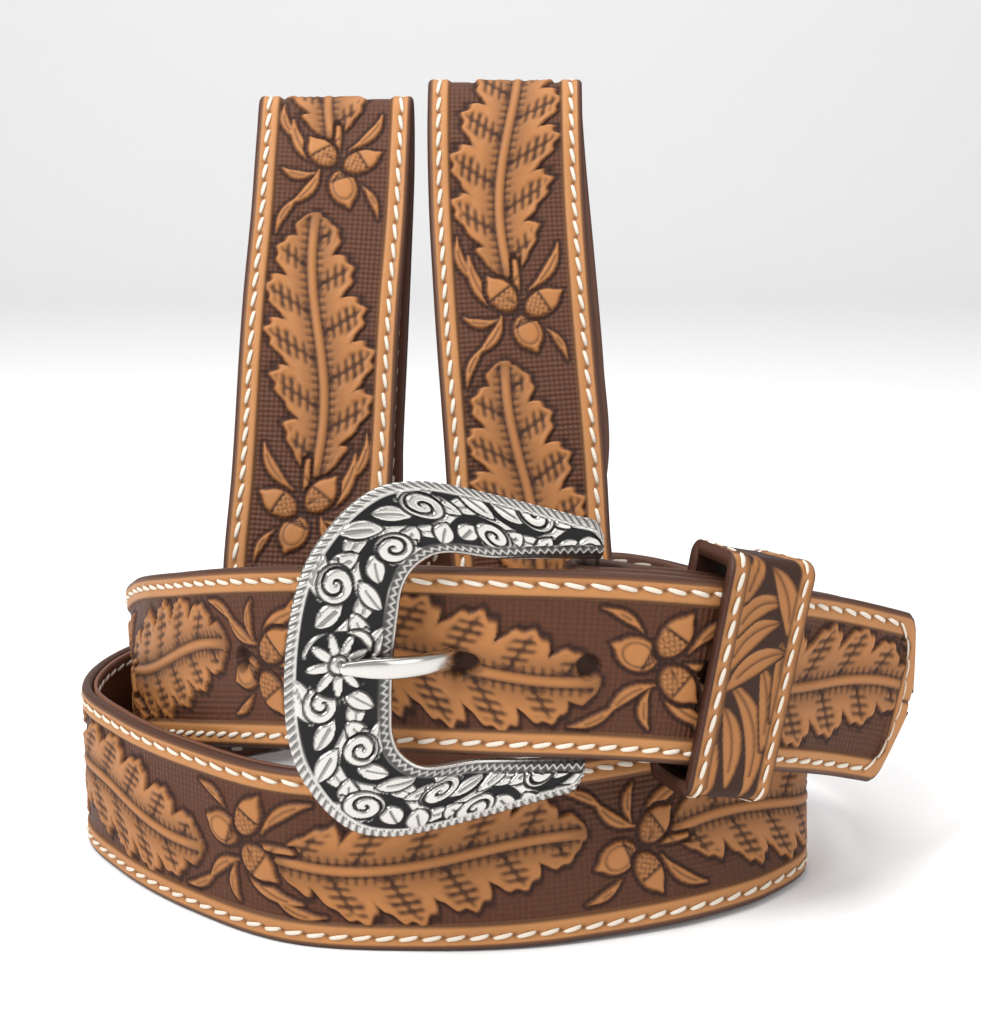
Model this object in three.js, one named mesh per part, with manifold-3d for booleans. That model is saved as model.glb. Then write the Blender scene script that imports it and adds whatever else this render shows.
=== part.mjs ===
// Western tooled belt, rolled up and standing on its edge with two upright loops.
// Millimetres, +Z up. The viewer stands on the -Y side, +X is to the viewer's right.
import * as THREE from "three";
import * as BufferGeometryUtils from "three/addons/utils/BufferGeometryUtils.js";
import Module from "manifold-3d";

const wasm = await Module();
wasm.setup();

// Driving dimensions of the strap
const STRAP_WIDTH = 38;
const LEATHER_THICKNESS = 2.4;
const LINING_THICKNESS = 0.9;
const PLY_GAP = 0.45;
const EDGE_ROUND = 0.8;
const LINING_INSET = 0.4;
const HOLE_DIAMETER = 4.5;
const HOLE_SPACING = 25.4;
const HOLE_COUNT = 5;
const TIP_LENGTH = 8;

// Driving dimensions of the roll
const ROLL_HALF_WIDTH = 93;
const ROLL_DEPTH = 112;
const LOOP_RISE = 154.5;

// Driving dimensions of the buckle and its tongue
const BUCKLE_LENGTH = 61;
const BUCKLE_HEIGHT = 71;
const BUCKLE_BAR_WIDTH = 21.8;
const BUCKLE_THICKNESS = 4;
const BUCKLE_STANDOFF = 0.5;
const BUCKLE_BEVEL = 1.2;
const OPENING_PLAY = 1.3;
const BUCKLE_LEAN = THREE.MathUtils.degToRad(12);
const HINGE_DIAMETER = 4.2;
const HINGE_PLACE = 90;
const TONGUE_WIDTH = 4.2;
const TONGUE_THICKNESS = 2.6;
const TONGUE_RING_WALL = 1.5;

// Driving dimensions of the keeper and the snaps
const KEEPER_WIDTH = 20;
const KEEPER_WALL = 2.6;
const KEEPER_PLAY = 3.2;
const KEEPER_CORNER = 3;
const KEEPER_MIDDLE = 56;
const FLAP_LENGTH = 44;
const SNAP_SPREAD = 18;
const SNAP_SETBACK = 14;
const SNAP_POST_DIAMETER = 3;
const SNAP_CAP_DIAMETER = 9;
const SNAP_CAP_THICKNESS = 1.4;
const SNAP_HEAD_DIAMETER = 6.4;
const SNAP_HEAD_THICKNESS = 0.8;

// Named clearances
const FIT_GAP = 0.3;
const LAYER_GAP = 0.5;
const SLOT_CLEARANCE = 0.5;
const KEEPER_SLACK = 0.6;

const STRAP_THICKNESS = LEATHER_THICKNESS + PLY_GAP + LINING_THICKNESS;
const HALF_WIDTH = STRAP_WIDTH / 2;
const OUTER_FACE = STRAP_THICKNESS / 2;
const LEATHER_BACK = OUTER_FACE - LEATHER_THICKNESS;
const LINING_FRONT = LEATHER_BACK - PLY_GAP;
const LINING_BACK = -OUTER_FACE;
const HINGE_RADIUS = HINGE_DIAMETER / 2;

// The route is a list of stations from the belt's tip to the right-hand curl behind it.
// across is a share of ROLL_HALF_WIDTH, back a share of ROLL_DEPTH, and up a share of
// LOOP_RISE above the lower tier's centre line. wx, wy, wz is the direction of the width.
const STATION_COLUMNS = ["across", "back", "up", "wx", "wy", "wz"];

const TIP_STRETCH = [
  [0.984, 0.112, 0.14, 0, 0, 1],
  [0.892, 0.045, 0.166, 0, 0, 1],
  [0.796, -0.018, 0.19, 0, 0, 1],
  [0.624, -0.143, 0.229, 0, 0, 1],
  [0.484, -0.223, 0.254, 0, 0, 1],
  [0.237, -0.284, 0.278, 0, 0, 1],
  [0.022, -0.292, 0.284, 0, 0, 1],
  [-0.194, -0.265, 0.283, 0, 0, 1],
  [-0.444, -0.156, 0.262, 0, 0, 1],
  [-0.686, 0.058, 0.215, 0, 0, 1],
];

const INNER_LEFT_CURL = [
  [-0.847, 0.286, 0.162, 0, 0, 1],
  [-0.903, 0.446, 0.11, 0, 0, 1],
  [-0.871, 0.589, 0.078, 0, 0, 1],
  [-0.753, 0.714, 0.058, 0, 0, 1],
  [-0.602, 0.768, 0.078, -0.35, 0, 0.94],
  [-0.495, 0.79, 0.162, -0.78, 0, 0.62],
];

const LEFT_LOOP = [
  [-0.452, 0.812, 0.285, -0.97, 0, 0.25],
  [-0.444, 0.835, 0.427, -1, 0, 0],
  [-0.43, 0.866, 0.602, -1, 0, 0],
  [-0.419, 0.902, 0.751, -1, 0, 0],
  [-0.411, 0.92, 0.88, -1, 0, 0],
  [-0.409, 0.888, 0.955, -1, 0, 0],
  [-0.409, 0.83, 0.974, -1, 0, 0],
  [-0.411, 0.777, 0.926, -1, 0, 0],
  [-0.419, 0.688, 0.803, -1, 0, 0],
  [-0.434, 0.611, 0.676, -1, 0, 0],
  [-0.453, 0.46, 0.412, -1, 0, 0],
  [-0.468, 0.375, 0.265, -1, 0, 0],
];

const TURN_UNDER_LEFT_LOOP = [
  [-0.462, 0.321, 0.149, -0.95, 0.1, 0.2],
  [-0.409, 0.312, 0.058, -0.75, 0.5, 0.45],
  [-0.301, 0.371, 0.01, -0.5, 0.707, 0.5],
  [-0.161, 0.455, 0.003, -0.3, 0.5, 0.8],
  [0.022, 0.491, 0.003, 0, 0.15, 1],
  [0.237, 0.482, 0.001, 0, 0, 1],
  [0.473, 0.442, 0.001, 0, 0, 1],
  [0.645, 0.366, 0.001, 0, 0, 1],
  [0.737, 0.268, 0.002, 0, 0, 1],
];

const LOWER_FRONT = [
  [0.747, 0.152, 0.003, 0, 0.1, 1],
  [0.629, 0.027, 0.001, 0, 0.25, 0.95],
  [0.473, -0.067, 0.001, 0, 0.3, 0.95],
  [0.269, -0.156, 0.002, 0, 0.2, 1],
  [0.054, -0.214, 0.001, 0, 0.12, 1],
  [-0.151, -0.232, 0, 0, 0.05, 1],
  [-0.437, -0.209, 0, 0, 0, 1],
  [-0.687, -0.059, 0, 0, 0, 1],
  [-0.882, 0.125, 0, 0, 0, 1],
];

const OUTER_LEFT_CURL = [
  [-0.997, 0.295, 0, 0, 0, 1],
  [-1, 0.464, 0, 0, 0, 1],
  [-0.925, 0.634, 0, 0, 0, 1],
  [-0.774, 0.786, 0.001, 0, 0, 1],
  [-0.559, 0.902, 0.005, 0, 0, 1],
  [-0.301, 0.973, 0.032, -0.2, 0, 1],
  [-0.086, 1, 0.097, -0.5, 0, 0.85],
  [0.065, 1, 0.22, -0.8, 0, 0.55],
];

const RIGHT_LOOP = [
  [0.134, 0.991, 0.369, -1, 0, 0.12],
  [0.118, 0.982, 0.524, -1, 0, 0],
  [0.086, 0.964, 0.718, -1, 0, 0],
  [0.056, 0.942, 0.887, -1, 0, 0],
  [0.043, 0.902, 0.971, -1, 0, 0],
  [0.039, 0.839, 1, -1, 0, 0],
  [0.038, 0.777, 0.951, -1, 0, 0],
  [0.043, 0.696, 0.822, -1, 0, 0],
  [0.058, 0.611, 0.676, -1, 0, 0],
  [0.092, 0.46, 0.412, -1, 0, 0],
];

const TURN_TO_BUCKLE_END = [
  [0.102, 0.411, 0.304, -1, 0, 0],
  [0.118, 0.402, 0.22, -1, 0.05, 0],
  [0.151, 0.46, 0.175, -1, 0.1, 0],
  [0.204, 0.558, 0.168, -0.93, 0.2, 0.12],
  [0.312, 0.647, 0.149, -0.55, 0.1, 0.75],
  [0.452, 0.701, 0.12, -0.15, 0.05, 0.95],
  [0.624, 0.696, 0.097, 0, 0, 1],
  [0.774, 0.634, 0.091, 0, 0, 1],
  [0.86, 0.509, 0.097, 0, 0, 1],
  [0.887, 0.357, 0.107, 0, 0, 1],
  [0.862, 0.205, 0.133, 0, 0, 1],
];

// Half the tip's outline: distance from the point as a share of TIP_LENGTH, and half width
// as a share of HALF_WIDTH
const TIP_OUTLINE = [
  [0, 0.14],
  [0.14, 0.3],
  [0.4, 0.61],
  [0.66, 0.88],
  [0.82, 0.96],
  [1, 1],
];

// The flap folded behind the buckle end: distance past the hinge bar as a share of
// FLAP_LENGTH, and how far it still stands off its resting depth, from 1 to 0
const FLAP_STANDOFF = [
  [0.07, 0.95],
  [0.15, 0.55],
  [0.22, 0.12],
  [0.3, 0],
  [0.5, 0],
  [0.75, 0],
  [1, 0],
];

// Upper half of the buckle's outline, from the hinge end to the far left: along as a share
// of BUCKLE_LENGTH from the hinge bar, high as a share of half BUCKLE_HEIGHT
const BUCKLE_OUTLINE = [
  [0.023, 0.71],
  [0, 0.777],
  [-0.074, 0.814],
  [-0.216, 0.873],
  [-0.38, 0.938],
  [-0.502, 0.98],
  [-0.625, 1],
  [-0.744, 0.958],
  [-0.825, 0.859],
  [-0.898, 0.71],
  [-0.949, 0.563],
  [-0.98, 0.386],
  [-0.998, 0.141],
];

// Corner of the buckle's opening at its upper left, as shares of the opening's own
// length and half height
const OPENING_CORNER = [
  [0.88, 1],
  [0.95, 0.88],
  [0.99, 0.7],
  [1, 0.5],
];

// The tongue's centre line: along as a share of BUCKLE_LENGTH from the hinge bar, and its
// stand off towards the viewer as a share of the stack of one strap and the hinge fold
const TONGUE_LINE = [
  [-0.03, 0.1],
  [-0.2, 0.12],
  [-0.33, 0.09],
  [-0.382, 0.25],
  [-0.464, 1.2],
  [-0.63, 2.21],
  [-0.72, 2.37],
  [-0.8, 2.53],
];

const SAMPLES_PER_SPAN = 16;
const STRAP_STEP = 6;
const FOLD_STEP = 1.6;

function stationVectors(rows) {
  return rows.map((row) => {
    const entry = Object.fromEntries(STATION_COLUMNS.map((name, i) => [name, row[i]]));
    return [
      entry.across * ROLL_HALF_WIDTH,
      entry.back * ROLL_DEPTH,
      HALF_WIDTH + entry.up * LOOP_RISE,
      entry.wx,
      entry.wy,
      entry.wz,
    ];
  });
}

// A smooth curve through stations of six numbers: a place and the direction of the width.
// Each sample also holds its distance along the curve, its tangent and its outward normal.
function smoothRoute(stations) {
  const count = stations.length;
  const spans = [];
  for (let i = 0; i < count - 1; i += 1) {
    spans.push(Math.hypot(...[0, 1, 2].map((k) => stations[i + 1][k] - stations[i][k])));
  }
  const slopeOver = (i) => stations[i].map((value, k) => (stations[i + 1][k] - value) / spans[i]);
  const slopes = stations.map((_, i) => {
    if (i === 0) return slopeOver(0);
    if (i === count - 1) return slopeOver(count - 2);
    const before = slopeOver(i - 1);
    const after = slopeOver(i);
    const total = spans[i - 1] + spans[i];
    return before.map((value, k) => (value * spans[i] + after[k] * spans[i - 1]) / total);
  });
  const rows = [];
  for (let i = 0; i < count - 1; i += 1) {
    for (let j = 0; j < SAMPLES_PER_SPAN; j += 1) {
      const t = j / SAMPLES_PER_SPAN;
      const startShare = 2 * t ** 3 - 3 * t ** 2 + 1;
      const endShare = 3 * t ** 2 - 2 * t ** 3;
      const startSlope = (t ** 3 - 2 * t ** 2 + t) * spans[i];
      const endSlope = (t ** 3 - t ** 2) * spans[i];
      rows.push(stations[i].map((value, k) => (
        startShare * value + startSlope * slopes[i][k]
        + endShare * stations[i + 1][k] + endSlope * slopes[i + 1][k]
      )));
    }
  }
  rows.push(stations[count - 1]);
  const places = rows.map((row) => new THREE.Vector3(row[0], row[1], row[2]));
  const last = rows.length - 1;
  let distance = 0;
  return rows.map((row, i) => {
    if (i > 0) distance += places[i].distanceTo(places[i - 1]);
    const tangent = places[Math.min(i + 1, last)].clone().sub(places[Math.max(i - 1, 0)]).normalize();
    const across = new THREE.Vector3(row[3], row[4], row[5]);
    across.addScaledVector(tangent, -across.dot(tangent)).normalize();
    const outward = across.clone().cross(tangent);
    return { distance, place: places[i], tangent, across, outward };
  });
}

function routeAt(route, distance) {
  let i = 1;
  while (i < route.length - 1 && route[i].distance < distance) i += 1;
  const a = route[i - 1];
  const b = route[i];
  const share = (distance - a.distance) / (b.distance - a.distance);
  const mix = (key) => a[key].clone().lerp(b[key], share);
  return {
    distance,
    place: mix("place"),
    tangent: mix("tangent").normalize(),
    across: mix("across").normalize(),
    outward: mix("outward").normalize(),
  };
}

function pointOn(frame, width, depth, along = 0) {
  return frame.place.clone()
    .addScaledVector(frame.across, width)
    .addScaledVector(frame.outward, depth)
    .addScaledVector(frame.tangent, along);
}

function stationFrom(place, across) {
  return [place.x, place.y, place.z, across.x, across.y, across.z];
}

// The tip's own stretch is worked out first, because the buckle end lies behind it
const mainStations = stationVectors([
  ...TIP_STRETCH,
  ...INNER_LEFT_CURL,
  ...LEFT_LOOP,
  ...TURN_UNDER_LEFT_LOOP,
  ...LOWER_FRONT,
  ...OUTER_LEFT_CURL,
  ...RIGHT_LOOP,
  ...TURN_TO_BUCKLE_END,
]);
const tipRoute = smoothRoute(mainStations.slice(0, TIP_STRETCH.length));

const STACK_OFFSET = STRAP_THICKNESS + LAYER_GAP;
const FOLD_RADIUS = HINGE_RADIUS + FIT_GAP - LEATHER_BACK;
const HINGE_DEPTH = STACK_OFFSET + FOLD_RADIUS;
const FLAP_DEPTH = OUTER_FACE + FIT_GAP - LEATHER_BACK;
const hingeFrame = routeAt(tipRoute, HINGE_PLACE);

const BEHIND_TIP_START = 29;
const BEHIND_TIP_COUNT = 7;
const FOLD_LEAD = 7;
const behindTipStations = [];
for (let i = 0; i < BEHIND_TIP_COUNT; i += 1) {
  const share = i / (BEHIND_TIP_COUNT - 1);
  const distance = THREE.MathUtils.lerp(BEHIND_TIP_START, HINGE_PLACE - FOLD_LEAD, share);
  const frame = routeAt(tipRoute, distance);
  behindTipStations.push(stationFrom(pointOn(frame, 0, -STACK_OFFSET), frame.across));
}

const foldStations = [];
const FOLD_PARTS = 6;
for (let i = 0; i <= FOLD_PARTS; i += 1) {
  const angle = (Math.PI * i) / FOLD_PARTS;
  const depth = -HINGE_DEPTH + FOLD_RADIUS * Math.cos(angle);
  const along = FOLD_RADIUS * Math.sin(angle);
  foldStations.push(stationFrom(pointOn(hingeFrame, 0, depth, along), hingeFrame.across));
}

const FULL_STANDOFF = 2 * FOLD_RADIUS - FLAP_DEPTH;
const flapStations = FLAP_STANDOFF.map(([share, standoff]) => {
  const frame = routeAt(tipRoute, HINGE_PLACE - share * FLAP_LENGTH);
  const depth = -STACK_OFFSET - FLAP_DEPTH - standoff * FULL_STANDOFF;
  return stationFrom(pointOn(frame, 0, depth), frame.across);
});

const strapRoute = smoothRoute([
  ...mainStations,
  ...behindTipStations,
  ...foldStations,
  ...flapStations,
]);
const strapLength = strapRoute[strapRoute.length - 1].distance;
const foldStart = strapRoute[
  (mainStations.length + behindTipStations.length) * SAMPLES_PER_SPAN
].distance;
const foldEnd = strapRoute[
  (mainStations.length + behindTipStations.length + FOLD_PARTS) * SAMPLES_PER_SPAN
].distance;

function halfWidthAt(distance) {
  const share = distance / TIP_LENGTH;
  if (share >= 1) return HALF_WIDTH;
  let i = 1;
  while (TIP_OUTLINE[i][0] < share) i += 1;
  const [fromShare, fromWidth] = TIP_OUTLINE[i - 1];
  const [toShare, toWidth] = TIP_OUTLINE[i];
  const part = (share - fromShare) / (toShare - fromShare);
  return HALF_WIDTH * THREE.MathUtils.lerp(fromWidth, toWidth, part);
}

// Distances at which a strap layer gets a cross-section: close at the tip and the fold
function sectionPlaces(start, end) {
  const places = TIP_OUTLINE.map(([share]) => share * TIP_LENGTH).filter((place) => place > start);
  places.unshift(start);
  let place = TIP_LENGTH;
  while (place < end) {
    const nearFold = place > foldStart - STRAP_STEP && place < foldEnd + STRAP_STEP;
    place += nearFold ? FOLD_STEP : STRAP_STEP;
    if (place < end - 1) places.push(place);
  }
  places.push(end);
  return places;
}

// Closes rows of rings into one body; each ring is a list of points, all of one length
function skinRings(rings) {
  const size = rings[0].length;
  const vertices = [];
  rings.forEach((ring) => ring.forEach((point) => vertices.push(point.x, point.y, point.z)));
  const faces = [];
  for (let i = 0; i < rings.length - 1; i += 1) {
    for (let j = 0; j < size; j += 1) {
      const next = (j + 1) % size;
      const a = i * size + j;
      const b = i * size + next;
      const c = (i + 1) * size + next;
      const d = (i + 1) * size + j;
      // Both faces of a twisted layer fold along the same diagonal, so its wall stays even
      if (j < size / 2) faces.push(a, b, c, a, c, d);
      else faces.push(a, b, d, b, c, d);
    }
  }
  const lastRing = (rings.length - 1) * size;
  for (let j = 1; j < size - 1; j += 1) {
    faces.push(0, j + 1, j);
    faces.push(lastRing, lastRing + j, lastRing + j + 1);
  }
  return outwardGeometry(vertices, faces);
}

// A band with an outer and an inner ring at each section, joined across both ends
function skinBand(outerRings, innerRings) {
  const size = outerRings[0].length;
  const count = outerRings.length;
  const vertices = [];
  [outerRings, innerRings].forEach((rings) => rings.forEach((ring) => (
    ring.forEach((point) => vertices.push(point.x, point.y, point.z))
  )));
  const faces = [];
  const quad = (a, b, c, d) => faces.push(a, b, c, a, c, d);
  const outer = (i, j) => i * size + (j % size);
  const inner = (i, j) => (count + i) * size + (j % size);
  for (let j = 0; j < size; j += 1) {
    for (let i = 0; i < count - 1; i += 1) {
      quad(outer(i, j), outer(i, j + 1), outer(i + 1, j + 1), outer(i + 1, j));
      quad(inner(i, j + 1), inner(i, j), inner(i + 1, j), inner(i + 1, j + 1));
    }
    quad(outer(0, j + 1), outer(0, j), inner(0, j), inner(0, j + 1));
    quad(outer(count - 1, j), outer(count - 1, j + 1), inner(count - 1, j + 1), inner(count - 1, j));
  }
  return outwardGeometry(vertices, faces);
}

function signedVolume(vertices, faces) {
  let total = 0;
  const point = (index) => new THREE.Vector3().fromArray(vertices, index * 3);
  for (let i = 0; i < faces.length; i += 3) {
    const [a, b, c] = [point(faces[i]), point(faces[i + 1]), point(faces[i + 2])];
    total += a.dot(b.cross(c)) / 6;
  }
  return total;
}

function outwardGeometry(vertices, faces) {
  const ordered = signedVolume(vertices, faces) > 0 ? faces : faces.slice().reverse();
  const geometry = new THREE.BufferGeometry();
  geometry.setAttribute("position", new THREE.Float32BufferAttribute(vertices, 3));
  geometry.setIndex(ordered);
  return geometry;
}

function toSolid(geometry) {
  const bare = geometry.clone();
  bare.deleteAttribute("normal");
  bare.deleteAttribute("uv");
  const merged = BufferGeometryUtils.mergeVertices(bare, 1e-4);
  return new wasm.Manifold(new wasm.Mesh({
    numProp: 3,
    vertProperties: new Float32Array(merged.attributes.position.array),
    triVerts: new Uint32Array(merged.index.array),
  }));
}

function toGeometry(solid) {
  const mesh = solid.getMesh();
  const geometry = new THREE.BufferGeometry();
  geometry.setAttribute("position", new THREE.Float32BufferAttribute(mesh.vertProperties, 3));
  geometry.setIndex(Array.from(mesh.triVerts));
  return geometry;
}

function cutFrom(geometry, cutters) {
  return toGeometry(cutters.reduce((solid, cutter) => solid.subtract(toSolid(cutter)), toSolid(geometry)));
}

// Stands a geometry made about its own +Z at a frame: its X along the strap, Y across, Z outward
function standAt(geometry, frame, width = 0, depth = 0, along = 0) {
  const matrix = new THREE.Matrix4().makeBasis(frame.tangent, frame.across.clone().negate(), frame.outward);
  matrix.setPosition(pointOn(frame, width, depth, along));
  return geometry.clone().applyMatrix4(matrix);
}

function roundCutter(diameter, depth) {
  const cylinder = new THREE.CylinderGeometry(diameter / 2, diameter / 2, depth, 20);
  return cylinder.rotateX(Math.PI / 2);
}

// The strap's outer leather and its lining
function leatherSection(frame, halfWidth) {
  const back = LEATHER_BACK;
  const front = OUTER_FACE;
  const round = Math.min(EDGE_ROUND, halfWidth / 3);
  return [
    pointOn(frame, -halfWidth, back),
    pointOn(frame, 0, back),
    pointOn(frame, halfWidth, back),
    pointOn(frame, halfWidth, front - round),
    pointOn(frame, halfWidth - round, front),
    pointOn(frame, 0, front),
    pointOn(frame, -halfWidth + round, front),
    pointOn(frame, -halfWidth, front - round),
  ];
}

function liningSection(frame, halfWidth) {
  const inset = halfWidth - LINING_INSET;
  return [
    pointOn(frame, -inset, LINING_FRONT),
    pointOn(frame, 0, LINING_FRONT),
    pointOn(frame, inset, LINING_FRONT),
    pointOn(frame, inset, LINING_BACK),
    pointOn(frame, 0, LINING_BACK),
    pointOn(frame, -inset, LINING_BACK),
  ];
}

function sweepLayer(section, start, end) {
  const rings = sectionPlaces(start, end).map((distance) => (
    section(routeAt(strapRoute, distance), halfWidthAt(distance))
  ));
  return skinRings(rings);
}

const usedHolePlace = HINGE_PLACE + 0.415 * BUCKLE_LENGTH;
const USED_HOLE_STRETCH = 4;
const HOLE_CUT_DEPTH = STRAP_THICKNESS + 2 * LAYER_GAP - 0.2;

function holeCutters() {
  const cutters = [];
  for (let i = 0; i < HOLE_COUNT; i += 1) {
    const place = usedHolePlace + (i - 2) * HOLE_SPACING;
    const frame = routeAt(strapRoute, place);
    const cylinder = roundCutter(HOLE_DIAMETER, HOLE_CUT_DEPTH);
    if (i !== 2) cutters.push(standAt(cylinder, frame));
  }
  const usedWidth = TONGUE_WIDTH + 2 * SLOT_CLEARANCE;
  const used = routeAt(strapRoute, usedHolePlace);
  const tongueLine = pointOn(hingeFrame, 0, 0, usedHolePlace - HINGE_PLACE);
  const shift = tongueLine.sub(used.place).dot(used.across);
  [-1, 1].forEach((side) => {
    const end = roundCutter(usedWidth, HOLE_CUT_DEPTH);
    cutters.push(standAt(end, used, shift, 0, (side * USED_HOLE_STRETCH) / 2));
  });
  const middle = new THREE.BoxGeometry(USED_HOLE_STRETCH, usedWidth, HOLE_CUT_DEPTH);
  cutters.push(standAt(middle, used, shift));
  return cutters;
}

// The slot in the fold lets the tongue turn on the hinge bar
const SLOT_LENGTH = 15;
const SLOT_FRONT = STACK_OFFSET - OUTER_FACE - 0.2;
const SLOT_DEPTH = 2 * HINGE_DEPTH;

function slotCutter() {
  const box = new THREE.BoxGeometry(SLOT_LENGTH, TONGUE_WIDTH + 2 * SLOT_CLEARANCE, SLOT_DEPTH);
  return standAt(box, hingeFrame, 0, -SLOT_FRONT - SLOT_DEPTH / 2);
}

// Two snaps hold the flap to the buckle end
const snapFrame = routeAt(tipRoute, HINGE_PLACE - SNAP_SETBACK);
const SNAP_FACE = -STACK_OFFSET + OUTER_FACE;
const SNAP_SEAT = SNAP_FACE - SNAP_HEAD_THICKNESS - FIT_GAP;
const SNAP_BACK = -STACK_OFFSET - FLAP_DEPTH - OUTER_FACE - FULL_STANDOFF * 0.45;

function snapCutters(width) {
  const depth = 3 * STRAP_THICKNESS;
  const post = roundCutter(SNAP_POST_DIAMETER + 2 * FIT_GAP, depth);
  const head = roundCutter(SNAP_HEAD_DIAMETER + 2 * FIT_GAP, SNAP_HEAD_THICKNESS + 2 * FIT_GAP);
  const headMiddle = SNAP_SEAT + SNAP_HEAD_THICKNESS / 2 + FIT_GAP;
  return [
    standAt(post, snapFrame, width, SNAP_FACE + FIT_GAP - depth / 2),
    standAt(head, snapFrame, width, headMiddle),
  ];
}

function buildStrap() {
  const cutters = [
    ...holeCutters(),
    slotCutter(),
    ...snapCutters(SNAP_SPREAD / 2),
    ...snapCutters(-SNAP_SPREAD / 2),
  ];
  return cutFrom(sweepLayer(leatherSection, 0, strapLength), cutters);
}

const LINING_TIP_SETBACK = 1.2;
const LINING_FOLD_SETBACK = 10;

function buildLining() {
  const layer = sweepLayer(liningSection, LINING_TIP_SETBACK, foldStart - LINING_FOLD_SETBACK);
  const snaps = [...snapCutters(SNAP_SPREAD / 2), ...snapCutters(-SNAP_SPREAD / 2)];
  return cutFrom(layer, [...holeCutters(), ...snaps]);
}

function buildSnap(width) {
  const headRadius = SNAP_HEAD_DIAMETER / 2;
  const postRadius = SNAP_POST_DIAMETER / 2;
  const capRadius = SNAP_CAP_DIAMETER / 2;
  const headBack = SNAP_SEAT + FIT_GAP;
  const headFront = headBack + SNAP_HEAD_THICKNESS;
  const capFront = SNAP_BACK - FIT_GAP;
  const profile = [
    [0, capFront - SNAP_CAP_THICKNESS],
    [capRadius * 0.8, capFront - SNAP_CAP_THICKNESS],
    [capRadius, capFront - SNAP_CAP_THICKNESS / 2],
    [capRadius, capFront],
    [postRadius, capFront],
    [postRadius, headBack],
    [headRadius, headBack],
    [headRadius, headFront],
    [0, headFront],
  ];
  const lathe = new THREE.LatheGeometry(profile.map(([r, z]) => new THREE.Vector2(r, z)), 16);
  return standAt(lathe.rotateX(Math.PI / 2), snapFrame, width);
}

// The keeper: a leather band round the tip, the buckle end and its flap
function keeperRing(frame, extra) {
  const high = HALF_WIDTH + KEEPER_PLAY + extra;
  const front = OUTER_FACE + FIT_GAP + extra;
  const back = -STACK_OFFSET - FLAP_DEPTH - OUTER_FACE - KEEPER_SLACK - extra;
  const corner = KEEPER_CORNER + extra - KEEPER_WALL;
  const corners = [
    [high, front, 0],
    [-high, front, 1],
    [-high, back, 2],
    [high, back, 3],
  ];
  const ring = [];
  corners.forEach(([width, depth, turn]) => {
    const insideWidth = width - Math.sign(width) * corner;
    const insideDepth = depth - (turn < 2 ? corner : -corner);
    for (let k = 0; k <= 3; k += 1) {
      const angle = (turn + k / 3) * (Math.PI / 2);
      const roundWidth = insideWidth + corner * Math.cos(angle);
      const roundDepth = insideDepth + corner * Math.sin(angle);
      ring.push(pointOn(frame, roundWidth, roundDepth));
    }
  });
  return ring;
}

function buildKeeper() {
  const outerRings = [];
  const innerRings = [];
  const steps = 6;
  for (let i = 0; i <= steps; i += 1) {
    const frame = routeAt(tipRoute, KEEPER_MIDDLE + KEEPER_WIDTH * (i / steps - 0.5));
    outerRings.push(keeperRing(frame, KEEPER_WALL));
    innerRings.push(keeperRing(frame, 0));
  }
  return skinBand(outerRings, innerRings);
}

// The buckle stands in its own leaning plane through the hinge bar
const leanFrame = {
  place: pointOn(hingeFrame, 0, -HINGE_DEPTH),
  across: hingeFrame.across,
  tangent: hingeFrame.tangent.clone().applyAxisAngle(hingeFrame.across, BUCKLE_LEAN),
  outward: hingeFrame.outward.clone().applyAxisAngle(hingeFrame.across, BUCKLE_LEAN),
};

function buckleShape() {
  const upper = BUCKLE_OUTLINE.map(([along, high]) => (
    new THREE.Vector2(-along * BUCKLE_LENGTH, (high * BUCKLE_HEIGHT) / 2)
  ));
  const lower = upper.slice().reverse().map((point) => new THREE.Vector2(point.x, -point.y));
  const openingHalf = HALF_WIDTH + OPENING_PLAY;
  const openingLength = BUCKLE_LENGTH - BUCKLE_BAR_WIDTH;
  const corner = OPENING_CORNER.map(([along, high]) => (
    new THREE.Vector2(along * openingLength, high * openingHalf)
  ));
  const cornerBelow = corner.slice().reverse().map((point) => new THREE.Vector2(point.x, -point.y));
  const endX = upper[0].x;
  const outline = [
    new THREE.Vector2(endX, openingHalf),
    ...upper,
    ...lower,
    new THREE.Vector2(endX, -openingHalf),
    ...cornerBelow.reverse().sort((a, b) => a.x - b.x),
    ...corner.sort((a, b) => b.x - a.x),
  ];
  return new THREE.Shape(outline);
}

function buildBuckle() {
  const plate = new THREE.ExtrudeGeometry(buckleShape(), {
    depth: BUCKLE_THICKNESS - 2 * BUCKLE_BEVEL,
    bevelEnabled: true,
    bevelThickness: BUCKLE_BEVEL,
    bevelSize: BUCKLE_BEVEL,
    bevelOffset: -BUCKLE_BEVEL,
    bevelSegments: 2,
    curveSegments: 4,
  });
  plate.translate(0, 0, BUCKLE_BEVEL + BUCKLE_STANDOFF);
  const barLength = 2 * (HALF_WIDTH + OPENING_PLAY) + 4 * BUCKLE_BEVEL;
  const bar = new THREE.CylinderGeometry(HINGE_RADIUS, HINGE_RADIUS, barLength, 16);
  const whole = toSolid(plate).add(toSolid(bar));
  return standAt(toGeometry(whole), leanFrame);
}

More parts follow.
